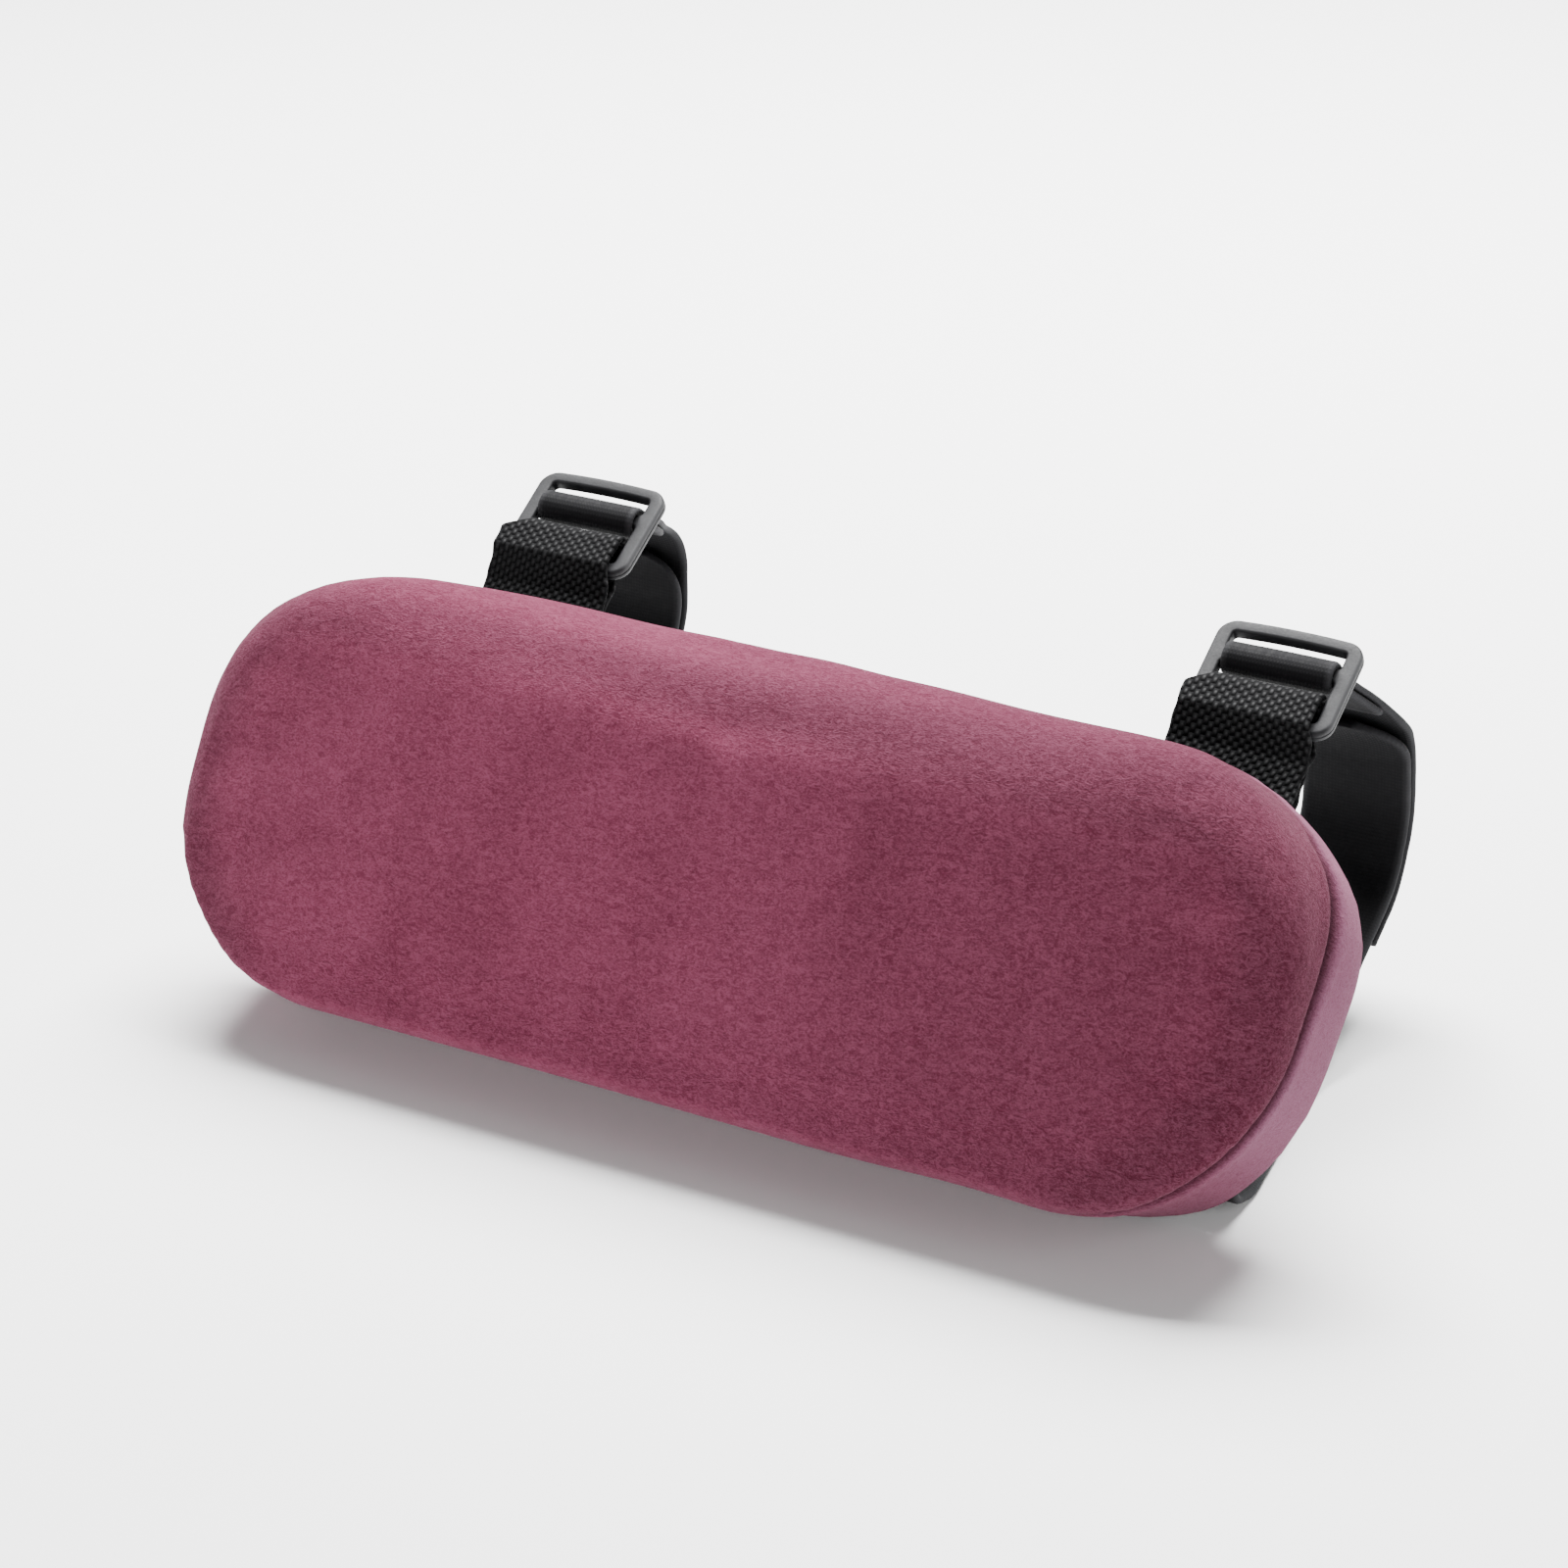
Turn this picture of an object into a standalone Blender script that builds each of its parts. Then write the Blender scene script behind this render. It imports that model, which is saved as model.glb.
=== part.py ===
"""A padded armrest cushion with two adjustable strap loops, standing on its lower long edge.

Everything is built upright in the frame of the pad: X runs along the pad, Y runs from the arm-side
face into the pad and out through the loops, and Z runs across the width of the pad. One empty then
leans the whole assembly back until the straps lie on the ground. Lengths are in metres.
"""

import math

import bmesh
import bpy
from mathutils import Vector

# Stance: the pad leans back on its straps by this angle from the vertical.
LEAN = math.radians(30)

# Pad
PAD_LENGTH = 0.250
PAD_WIDTH = 0.094
PAD_DEPTH = 0.035
CORNER_RADIUS = 0.0414
BASE_EDGE_RADIUS = 0.006
COVER_THICKNESS = 0.0018
BASE_SEAM_DEPTH = 0.0290

# The face rolls over the upper edge and meets a side wall along the lower one.
FACE_EDGE_RADIUS_LOW = 0.0030
FACE_EDGE_RADIUS_HIGH = 0.0160
FACE_SEAM_DEPTH_LOW = 0.0036
FACE_SEAM_DEPTH_HIGH = 0.0265
BASE_THICKNESS = 0.0022
GAP = 0.0003
ARC_STEP = math.radians(10)

# Straps. Each loop leans outward, away from the middle of the pad, as it leaves the buckle.
STRAP_OFFSET = 0.0835
STRAP_SPLAY = 0.0085
SPLAY_START = 0.076
SPLAY_END = 0.104
BASE_SPLAY = 0.0135
BASE_SPLAY_END = 0.050
STRAP_WIDTH = 0.0246
STRAP_THICKNESS = 0.0018
OUTER_STRAP_THICKNESS = 0.0015
HOOK_THICKNESS = 0.0007
TAIL_TOP = -0.018
TAIL_BOTTOM = -0.0385
TAIL_BEND_RADIUS = 0.0040
TOUCHDOWN_DEPTH = 0.048
TOUCHDOWN_RADIUS = 0.012
GROUND_CLEARANCE = 0.0003
STRAP_HINGE_GAP = 0.0008
TONGUE_LENGTH = 0.012
SEWN_LAYER_START = 0.009
SEWN_LAYER_LENGTH = 0.012

# Each loop is closed at its own length. Its corners are (depth, height, rounding).
LOOPS = {
    "left": {
        "buckle": (0.0626, 0.0605),
        "lift": 0.0940,
        "corners": (
            (0.1170, 0.0300, 0.030),
            (0.1165, 0.0585, 0.016),
            (0.1080, 0.0732, 0.011),
        ),
        "hinge_height": 0.004,
        "outer_end_height": 0.020,
        "tip_height": 0.0705,
    },
    "right": {
        "buckle": (0.0632, 0.0577),
        "lift": 0.0900,
        "corners": (
            (0.1180, 0.0330, 0.016),
            (0.1160, 0.0480, 0.020),
            (0.1048, 0.0618, 0.015),
            (0.0880, 0.0668, 0.040),
        ),
        "hinge_height": 0.004,
        "outer_end_height": 0.0215,
        "tip_height": 0.0640,
    },
}
LIFT_RADIUS = 0.010

# Short webbing that holds the buckle
WEBBING_WIDTH = 0.030
WEBBING_THICKNESS = 0.0015
WEBBING_TAIL_LOW = 0.008
WEBBING_TAIL_HIGH = 0.026
WEBBING_KNEE = Vector((0.0590, 0.0405))
WEBBING_FOLD_HEIGHT = 0.0055
WEBBING_JOIN_DROP = 0.0072
WEBBING_HINGE_GAP = 0.0006

# Three-bar slide buckle: the bars lie at these heights above the lowest one.
BUCKLE_LEAN = math.radians(30)
BUCKLE_WIDTH = 0.0324
BUCKLE_SLOT_WIDTH = 0.0254
MIDDLE_BAR_HEIGHT = 0.0142
TOP_BAR_HEIGHT = 0.0217
BAR_WIDTH = 0.0030
BUCKLE_THICKNESS = 0.0030
BUCKLE_CORNER = 0.0040
BUCKLE_ROUNDING = 0.0005
FOLD_CLEARANCE = math.hypot(BAR_WIDTH, BUCKLE_THICKNESS) / 2 + 0.0001

# Box stitches that hold the sewn tails
STITCH_WIDTH = 0.020
STITCH_HEIGHT = 0.012
STITCH_THREAD = 0.0008
STITCH_THICKNESS = 0.0005

# Zip in the base panel
ZIP_LENGTH = 0.118
ZIP_HEIGHT = 0.000
TAPE_WIDTH = 0.010
TAPE_THICKNESS = 0.0006
ZIP_SLIT = 0.0012
COIL_WIDTH = 0.0044
COIL_THICKNESS = 0.0016
SLIDER_LENGTH = 0.0090
SLIDER_WIDTH = 0.0076
SLIDER_PLATE = 0.0010
BRIDGE_HEIGHT = 0.0030
PULL_LENGTH = 0.0210
PULL_WIDTH = 0.0050
PULL_THICKNESS = 0.0012

MATERIALS = {
    "velvet": ((0.26, 0.06, 0.12), 0.9),
    "foam": ((0.80, 0.74, 0.60), 0.95),
    "base_fabric": ((0.03, 0.03, 0.035), 0.9),
    "webbing": ((0.02, 0.02, 0.02), 0.8),
    "strap": ((0.015, 0.015, 0.018), 0.75),
    "hook_tape": ((0.02, 0.02, 0.022), 0.85),
    "buckle_plastic": ((0.055, 0.055, 0.06), 0.45),
    "thread": ((0.02, 0.02, 0.02), 0.7),
    "zip_tape": ((0.18, 0.05, 0.09), 0.85),
    "zip_coil": ((0.16, 0.05, 0.08), 0.4),
    "zip_metal": ((0.10, 0.10, 0.11), 0.35),
}


# ---------------------------------------------------------------- scene and objects

def clear_scene():
    for obj in list(bpy.data.objects):
        bpy.data.objects.remove(obj, do_unlink=True)


def make_material(name):
    colour, roughness = MATERIALS[name]
    mat = bpy.data.materials.new(name)
    mat.use_nodes = True
    shader = mat.node_tree.nodes["Principled BSDF"]
    shader.inputs["Base Color"].default_value = (*colour, 1)
    shader.inputs["Roughness"].default_value = roughness
    shader.inputs["Metallic"].default_value = 1.0 if name == "zip_metal" else 0.0
    return mat


def add_object(name, data, material, frame, location=(0, 0, 0)):
    """Links an object that holds this mesh or curve, under the frame that leans it back."""
    obj = bpy.data.objects.new(name, data)
    bpy.context.scene.collection.objects.link(obj)
    data.materials.append(material)
    obj.parent = frame
    obj.location = location
    return obj


def add_bmesh(name, bm, material, frame, location=(0, 0, 0), smooth=40):
    """Turns a bmesh into an object whose faces point out and whose round stretches are smooth."""
    bmesh.ops.recalc_face_normals(bm, faces=bm.faces)
    mesh = bpy.data.meshes.new(name)
    bm.to_mesh(mesh)
    bm.free()
    mesh.shade_smooth()
    mesh.set_sharp_from_angle(angle=math.radians(smooth))
    return add_object(name, mesh, material, frame, location)


# ---------------------------------------------------------------- outlines and paths

def wall_share(z):
    """How much of the high edge's shape the pad has: 0 at its lower edge and 1 at its upper one."""
    return min(1.0, max(0.0, z / PAD_WIDTH + 0.5)) ** 1.5


def outline_spokes():
    """Points round the pad as (centre, direction, share): the wall lies one corner radius out."""
    centre_x = PAD_LENGTH / 2 - CORNER_RADIUS
    centre_z = PAD_WIDTH / 2 - CORNER_RADIUS
    spokes = []
    for sign_x, sign_z, start in ((1, 1, 0), (-1, 1, 90), (-1, -1, 180), (1, -1, 270)):
        for degrees in range(start, start + 91, 10):
            angle = math.radians(degrees)
            centre = Vector((sign_x * centre_x, sign_z * centre_z))
            direction = Vector((math.cos(angle), math.sin(angle)))
            height = centre.y + direction.y * CORNER_RADIUS
            spokes.append((centre, direction, wall_share(height)))
    return spokes


def edge_rings(depth, direction, radii, inset=0.0, steps=4):
    """Rings of a rounded edge, from the flat face at this depth to the side wall of the pad.

    Each ring is an (inset, depth) pair for the lower edge and one for the upper edge.
    """
    rings = []
    for step in range(steps + 1):
        angle = math.pi / 2 * step / steps
        ring = []
        for radius in radii:
            ring_inset = inset + radius * (1 - math.sin(angle))
            ring.append((ring_inset, depth + direction * radius * (1 - math.cos(angle))))
        rings.append(tuple(ring))
    return rings


def wall_ring(inset, low_depth, high_depth):
    return ((inset, low_depth), (inset, high_depth))


def loft(rings, capped):
    """A bmesh through rings of the pad outline, closed by caps or back on itself."""
    bm = bmesh.new()
    spokes = outline_spokes()
    loops = []
    for low, high in rings:
        loop = []
        for centre, direction, share in spokes:
            inset = low[0] + (high[0] - low[0]) * share
            depth = low[1] + (high[1] - low[1]) * share
            point = centre + direction * (CORNER_RADIUS - inset)
            loop.append(bm.verts.new((point.x, depth, point.y)))
        loops.append(loop)
    pairs = list(zip(loops, loops[1:]))
    if capped:
        bm.faces.new(loops[0])
        bm.faces.new(loops[-1])
    else:
        pairs.append((loops[-1], loops[0]))
    for first, second in pairs:
        for i, vert in enumerate(first):
            j = (i + 1) % len(first)
            bm.faces.new((vert, first[j], second[j], second[i]))
    return bm


def heading(start, end):
    return (end - start).normalized()


def left_of(direction):
    return Vector((-direction.y, direction.x))


def fillet(before, corner, after, radius):
    """The arc that rounds a corner of a path, as points from one tangent point to the other."""
    incoming = heading(before, corner)
    outgoing = heading(corner, after)
    turn = incoming.angle_signed(outgoing) * -1
    side = left_of(incoming) * math.copysign(1, turn)
    start = corner - incoming * radius * math.tan(abs(turn) / 2)
    centre = start + side * radius
    count = max(2, math.ceil(abs(turn) / ARC_STEP))
    arm = start - centre
    return [centre + turned(arm, turn * i / count) for i in range(count + 1)]


def turned(vector, angle):
    cosine = math.cos(angle)
    sine = math.sin(angle)
    return Vector((vector.x * cosine - vector.y * sine, vector.x * sine + vector.y * cosine))


def rounded_path(corners, radii):
    """A path through the first and last corners that rounds each one between them."""
    path = [corners[0]]
    for i, radius in enumerate(radii, start=1):
        path.extend(fillet(corners[i - 1], corners[i], corners[i + 1], radius))
    path.append(corners[-1])
    return path


def path_normals(path):
    """A left-hand normal at each point of a path."""
    normals = []
    for i in range(len(path)):
        back = heading(path[max(i - 1, 0)], path[max(i, 1)])
        ahead = heading(path[min(i, len(path) - 2)], path[min(i + 1, len(path) - 1)])
        normals.append(left_of((back + ahead).normalized()))
    return normals


def offset_path(path, distance):
    """The same path moved to its left by a distance."""
    return [point + normal * distance for point, normal in zip(path, path_normals(path))]


def path_length(path):
    return sum((b - a).length for a, b in zip(path, path[1:]))


def cut_path(path, start, end):
    """The stretch of a path between two lengths measured along it."""
    stretch = []
    travelled = 0.0
    for a, b in zip(path, path[1:]):
        step = (b - a).length
        for mark in (start, end):
            if travelled <= mark < travelled + step:
                stretch.append((mark, a.lerp(b, (mark - travelled) / step)))
        travelled += step
        if start < travelled < end:
            stretch.append((travelled, b.copy()))
    if end >= travelled:
        stretch.append((travelled, path[-1].copy()))
    stretch.sort(key=lambda item: item[0])
    kept = [stretch[0][1]]
    for _, point in stretch[1:]:
        if (point - kept[-1]).length > 1e-5:
            kept.append(point)
    return kept


def ribbon(path, thickness, half_widths, shifts):
    """A flat strap along a path in the Y-Z plane, with a half width and an X shift at each point."""
    bm = bmesh.new()
    sections = []
    for point, normal, half, shift in zip(path, path_normals(path), half_widths, shifts):
        lower = point - normal * thickness / 2
        upper = point + normal * thickness / 2
        corners = ((-half, lower), (half, lower), (half, upper), (-half, upper))
        sections.append([bm.verts.new((shift + x, side.x, side.y)) for x, side in corners])
    bm.faces.new(sections[0])
    bm.faces.new(sections[-1])
    for first, second in zip(sections, sections[1:]):
        for i in range(4):
            j = (i + 1) % 4
            bm.faces.new((first[i], first[j], second[j], second[i]))
    return bm


def add_ribbon(name, path, thickness, half_widths, material, frame, x, pivot, shifts=None):
    """Adds a strap at this x, with its origin on the pivot that it swings about."""
    local = [point - pivot for point in path]
    bm = ribbon(local, thickness, half_widths, shifts or [0.0] * len(path))
    return add_bmesh(name, bm, material, frame, (x, pivot.x, pivot.y))


def splay(path, x):
    """How far each point of a strap has leaned outward, towards the end of the pad it is on."""
    shifts = []
    for point in path:
        share = min(1.0, max(0.0, (point.x - SPLAY_START) / (SPLAY_END - SPLAY_START)))
        shifts.append(math.copysign(STRAP_SPLAY, x) * share * share * (3 - 2 * share))
    return shifts


def base_splay(path, x):
    """How far each point of a lower strap lies outward of the buckle, most at the base."""
    shifts = []
    for point in path:
        share = min(1.0, max(0.0, (point.x - BASE_SPLAY_END) / (SPLAY_END - BASE_SPLAY_END)))
        shifts.append(math.copysign(BASE_SPLAY + (STRAP_SPLAY - BASE_SPLAY) * share, x))
    return shifts


def add_box(bm, low, high):
    """Adds an axis-aligned box to a bmesh."""
    centre = (Vector(low) + Vector(high)) / 2
    size = Vector(high) - Vector(low)
    made = bmesh.ops.create_cube(bm, size=1)
    bmesh.ops.scale(bm, vec=size, verts=made["verts"])
    bmesh.ops.translate(bm, vec=centre, verts=made["verts"])


# ---------------------------------------------------------------- pad

def face_radii(skin=0.0):
    return FACE_EDGE_RADIUS_LOW - skin, FACE_EDGE_RADIUS_HIGH - skin


def base_radii(skin=0.0):
    return BASE_EDGE_RADIUS - skin, BASE_EDGE_RADIUS - skin


def build_foam_core(materials, frame):
    skin = COVER_THICKNESS + GAP
    back = PAD_DEPTH - BASE_THICKNESS - GAP
    rings = edge_rings(skin, 1, face_radii(skin), skin)
    rings += edge_rings(back, -1, base_radii(skin), skin)[::-1]
    return add_bmesh("foam_core", loft(rings, True), materials["foam"], frame)


def build_top_panel(materials, frame):
    """The arm-side panel, a dish whose rim is sewn to the side band."""
    skin = COVER_THICKNESS
    outer = edge_rings(0.0, 1, face_radii())
    inner = edge_rings(skin, 1, face_radii(skin), skin)
    rim = [
        wall_ring(0.0, FACE_SEAM_DEPTH_LOW, FACE_SEAM_DEPTH_HIGH),
        wall_ring(skin, FACE_SEAM_DEPTH_LOW, FACE_SEAM_DEPTH_HIGH),
    ]
    bm = loft(outer + rim + inner[::-1], True)
    return add_bmesh("cover_top_panel", bm, materials["velvet"], frame)


def build_side_band(materials, frame):
    """The side wall, deep along the lower edge and narrow where the face rolls over the upper one."""
    low = FACE_SEAM_DEPTH_LOW + GAP
    high = FACE_SEAM_DEPTH_HIGH + GAP
    rings = [
        wall_ring(0.0, low, high),
        wall_ring(0.0, BASE_SEAM_DEPTH, BASE_SEAM_DEPTH),
        wall_ring(COVER_THICKNESS, BASE_SEAM_DEPTH, BASE_SEAM_DEPTH),
        wall_ring(COVER_THICKNESS, low, high),
    ]
    return add_bmesh("cover_side_band", loft(rings, False), materials["velvet"], frame)


def build_base_panel(materials, frame):
    """The panel that lies on the armrest, turned up at its rim and slit for the zip."""
    rim = BASE_SEAM_DEPTH + GAP
    skin = COVER_THICKNESS
    outer = edge_rings(PAD_DEPTH, -1, base_radii())
    if rim < outer[-1][0][1]:
        outer.append(wall_ring(0.0, rim, rim))
    inner = [wall_ring(skin, rim, rim)]
    inner += edge_rings(PAD_DEPTH - BASE_THICKNESS, -1, base_radii(BASE_THICKNESS), skin)[::-1]
    rings = outer + inner
    panel = add_bmesh("cover_base_panel", loft(rings, True), materials["base_fabric"], frame)
    bm = bmesh.new()
    half = ZIP_LENGTH / 2 - TAPE_WIDTH / 4
    slit = ZIP_SLIT / 2
    add_box(bm, (-half, PAD_DEPTH - 0.01, ZIP_HEIGHT - slit), (half, PAD_DEPTH + 0.01, ZIP_HEIGHT + slit))
    cutter = add_bmesh("zip_slit_cutter", bm, materials["base_fabric"], frame)
    cutter.hide_render = True
    cutter.display_type = "WIRE"
    cut = panel.modifiers.new("zip_slit", "BOOLEAN")
    cut.operation = "DIFFERENCE"
    cut.solver = "EXACT"
    cut.object = cutter
    return panel


# ---------------------------------------------------------------- zip

def build_zip(materials, frame):
    """Two tapes, the closed coil, its two end stops, the slider and its pull."""
    face = PAD_DEPTH + GAP
    half = ZIP_LENGTH / 2
    inner = ZIP_SLIT / 2
    for name, low, high in (
        ("zip_tape_upper", inner, inner + TAPE_WIDTH),
        ("zip_tape_lower", -inner - TAPE_WIDTH, -inner),
    ):
        bm = bmesh.new()
        add_box(bm, (-half, face, ZIP_HEIGHT + low), (half, face + TAPE_THICKNESS, ZIP_HEIGHT + high))
        add_bmesh(name, bm, materials["zip_tape"], frame)
    coil_base = face + TAPE_THICKNESS + GAP
    coil_top = coil_base + COIL_THICKNESS
    coil_half = half - 0.006
    bm = bmesh.new()
    low = (-coil_half, coil_base, ZIP_HEIGHT - COIL_WIDTH / 2)
    add_box(bm, low, (coil_half, coil_top, ZIP_HEIGHT + COIL_WIDTH / 2))
    add_bmesh("zip_coil", bm, materials["zip_coil"], frame)
    for name, sign in (("zip_stop_left", -1), ("zip_stop_right", 1)):
        bm = bmesh.new()
        near = sign * (coil_half + GAP)
        far = sign * (coil_half + GAP + 0.0022)
        low = (min(near, far), coil_base, ZIP_HEIGHT - 0.0028)
        high = (max(near, far), coil_top + 0.0002, ZIP_HEIGHT + 0.0028)
        add_box(bm, low, high)
        add_bmesh(name, bm, materials["zip_metal"], frame)
    slider_x = coil_half - SLIDER_LENGTH / 2 - 0.001
    build_slider(materials, frame, slider_x, coil_base, coil_top)


def build_slider(materials, frame, slider_x, coil_base, coil_top):
    """The slider saddles the coil; its bridge holds the pull, which hangs away from the base."""
    wing = Vector((0, SLIDER_LENGTH / 2, SLIDER_WIDTH / 2))
    plate_low = coil_top + GAP
    plate_high = plate_low + SLIDER_PLATE
    side_inner = COIL_WIDTH / 2 + GAP
    bridge_half = 0.0012
    bm = bmesh.new()
    profile = [
        (-wing.z, coil_base),
        (-side_inner, coil_base),
        (-side_inner, plate_low),
        (side_inner, plate_low),
        (side_inner, coil_base),
        (wing.z, coil_base),
        (wing.z, plate_high),
        (-wing.z, plate_high),
    ]
    extrude_profile(bm, profile, -wing.y, wing.y)
    location = (slider_x, 0, ZIP_HEIGHT)
    slider = add_bmesh("zip_slider", bm, materials["zip_metal"], frame, location, smooth=30)
    arch = bmesh.new()
    post = 0.0030
    wall = 0.0009
    top = plate_high + BRIDGE_HEIGHT
    arch_profile = [
        (-post, plate_high - 0.0004),
        (-post, top),
        (post, top),
        (post, plate_high - 0.0004),
        (post - wall, plate_high - 0.0004),
        (post - wall, top - wall),
        (-post + wall, top - wall),
        (-post + wall, plate_high - 0.0004),
    ]
    loops = []
    for z in (-bridge_half, bridge_half):
        loops.append([arch.verts.new((x, y, z)) for x, y in arch_profile])
    close_prism(arch, loops)
    cutter = add_bmesh("zip_bridge_join", arch, materials["zip_metal"], frame, location)
    cutter.hide_render = True
    cutter.display_type = "WIRE"
    join = slider.modifiers.new("bridge", "BOOLEAN")
    join.operation = "UNION"
    join.solver = "EXACT"
    join.object = cutter
    axis_y = top - wall - GAP - PULL_THICKNESS / 2
    build_pull(materials, frame, slider_x, axis_y, bridge_half)


def extrude_profile(bm, profile, start, end):
    """A prism along X from a closed (z, y) profile."""
    loops = [[bm.verts.new((x, y, z)) for z, y in profile] for x in (start, end)]
    close_prism(bm, loops)


def close_prism(bm, loops):
    for loop in loops:
        bm.faces.new(loop)
    count = len(loops[0])
    for i in range(count):
        j = (i + 1) % count
        bm.faces.new((loops[0][i], loops[0][j], loops[1][j], loops[1][i]))


def build_pull(materials, frame, slider_x, axis_y, bridge_half):
    """A flat tab with a window near its root, through which the bridge of the slider passes."""
    outline = bpy.data.curves.new("zip_pull", "CURVE")
    outline.dimensions = "2D"
    outline.fill_mode = "BOTH"
    outline.extrude = PULL_THICKNESS / 2
    root = PULL_THICKNESS / 2
    half = PULL_WIDTH / 2
    window = bridge_half + 0.0004
    add_outline(outline, rounded_rectangle(-half, half, -root, PULL_LENGTH, 0.0005, 0.0018))
    add_outline(outline, rounded_rectangle(-window, window, root, 0.0052, 0.0002, 0.0006))
    pull = add_object("zip_pull", outline, materials["zip_metal"], frame)
    pull.location = (slider_x, axis_y, ZIP_HEIGHT)
    pull.rotation_euler = (0, math.pi / 2, 0)
    return pull


# ---------------------------------------------------------------- flat outlines

def rounded_rectangle(left, right, bottom, top, low_radius, high_radius):
    """Corner points of a rectangle with rounded corners, anticlockwise."""
    points = []
    for x, y, sign_x, sign_y, start, radius in (
        (right, top, -1, -1, 0, high_radius),
        (left, top, 1, -1, 90, high_radius),
        (left, bottom, 1, 1, 180, low_radius),
        (right, bottom, -1, 1, 270, low_radius),
    ):
        for degrees in range(start, start + 91, 18):
            angle = math.radians(degrees)
            centre_x = x + sign_x * radius
            centre_y = y + sign_y * radius
            points.append((centre_x + radius * math.cos(angle), centre_y + radius * math.sin(angle)))
    return points


def add_outline(curve, points):
    """Adds a closed straight-sided outline to a flat curve."""
    spline = curve.splines.new("POLY")
    spline.points.add(len(points) - 1)
    for point, (x, y) in zip(spline.points, points):
        point.co = (x, y, 0, 1)
    spline.use_cyclic_u = True


# ---------------------------------------------------------------- buckle

def buckle_up():
    return Vector((math.sin(BUCKLE_LEAN), math.cos(BUCKLE_LEAN)))


def buckle_pivot(side):
    """Where the lowest bar of this side's buckle lies in the Y-Z plane."""
    return Vector(LOOPS[side]["buckle"])


def middle_bar(side):
    return buckle_pivot(side) + buckle_up() * MIDDLE_BAR_HEIGHT


def build_buckle(side, materials, frame, x):
    """A flat frame with three bars, turning on its lowest bar in the fold of the webbing."""
    curve = bpy.data.curves.new("buckle", "CURVE")
    curve.dimensions = "2D"
    curve.fill_mode = "BOTH"
    curve.extrude = BUCKLE_THICKNESS / 2 - BUCKLE_ROUNDING
    curve.bevel_depth = BUCKLE_ROUNDING
    curve.bevel_resolution = 1
    curve.offset = -BUCKLE_ROUNDING
    half = BUCKLE_WIDTH / 2
    slot_half = BUCKLE_SLOT_WIDTH / 2
    bar = BAR_WIDTH / 2
    top = TOP_BAR_HEIGHT + bar
    add_outline(curve, rounded_rectangle(-half, half, -bar, top, 0.0026, BUCKLE_CORNER))
    for low, high in ((0, MIDDLE_BAR_HEIGHT), (MIDDLE_BAR_HEIGHT, TOP_BAR_HEIGHT)):
        slot = rounded_rectangle(-slot_half, slot_half, low + bar, high - bar, 0.0008, 0.0008)
        add_outline(curve, slot)
    buckle = add_object(f"buckle_{side}", curve, materials["buckle_plastic"], frame)
    pivot = buckle_pivot(side)
    buckle.location = (x, pivot.x, pivot.y)
    buckle.rotation_euler = (math.pi / 2 - BUCKLE_LEAN, 0, 0)
    return buckle


# ---------------------------------------------------------------- straps

def wrap(centre, radius, start_direction, sweep):
    """Points round a bar, from one direction through a sweep that is negative when clockwise."""
    count = max(4, math.ceil(abs(sweep) / math.radians(20)))
    arm = start_direction.normalized() * radius
    return [centre + turned(arm, sweep * i / count) for i in range(count + 1)]


def build_webbing(side, materials, frame, x):
    """Webbing in two layers: a tail sewn to the base, and a loop over the lowest bar of the buckle."""
    pivot = buckle_pivot(side)
    up = buckle_up()
    ahead = left_of(up)
    doubled = 2 * WEBBING_THICKNESS + GAP
    near = PAD_DEPTH + GAP + doubled / 2
    foot = Vector((near, WEBBING_TAIL_LOW))
    centre = rounded_path([foot, Vector((near, WEBBING_TAIL_HIGH)), WEBBING_KNEE, pivot], (0.010, 0.010))
    join = path_length(centre) - WEBBING_JOIN_DROP
    tail = cut_path(centre, 0.0, join - WEBBING_HINGE_GAP / 2)
    wide = WEBBING_WIDTH / 2
    webbing = materials["webbing"]
    name = f"webbing_tail_{side}"
    add_ribbon(name, tail, doubled, [wide] * len(tail), webbing, frame, x, foot)

    rise = heading(WEBBING_KNEE, pivot)
    start = cut_path(centre, join + WEBBING_HINGE_GAP / 2, path_length(centre))[0]
    apart = left_of(rise) * (WEBBING_THICKNESS + GAP) / 2
    radius = FOLD_CLEARANCE + WEBBING_THICKNESS / 2
    fold_centre = pivot + up * WEBBING_FOLD_HEIGHT
    fold = wrap(fold_centre, radius, ahead, -math.pi)
    front = [start + apart, pivot + ahead * radius - up * 0.0005]
    path = front + fold + [pivot - ahead * radius - up * 0.0005, start - apart]
    narrow = STRAP_WIDTH / 2
    half_widths = [wide] * 4 + [narrow] * (len(path) - 4)
    hinge = start + left_of(rise) * doubled / 2
    name = f"webbing_loop_{side}"
    add_ribbon(name, path, WEBBING_THICKNESS, half_widths, webbing, frame, x, hinge)


def loop_path(side):
    """The inner strap's centre line, from its sewn tail along the ground and up to the buckle."""
    loop = LOOPS[side]
    depth = PAD_DEPTH + GAP + STRAP_THICKNESS / 2
    corners = [
        Vector((depth, TAIL_TOP)),
        Vector((depth, TAIL_BOTTOM)),
        ground_point(TOUCHDOWN_DEPTH),
        ground_point(loop["lift"]),
    ]
    radii = [TAIL_BEND_RADIUS, TOUCHDOWN_RADIUS, LIFT_RADIUS]
    for y, z, radius in loop["corners"]:
        corners.append(Vector((y, z)))
        radii.append(radius)
    corners.append(middle_bar(side) + Vector((0.0016, -0.0004)))
    return rounded_path(corners, radii)


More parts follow.
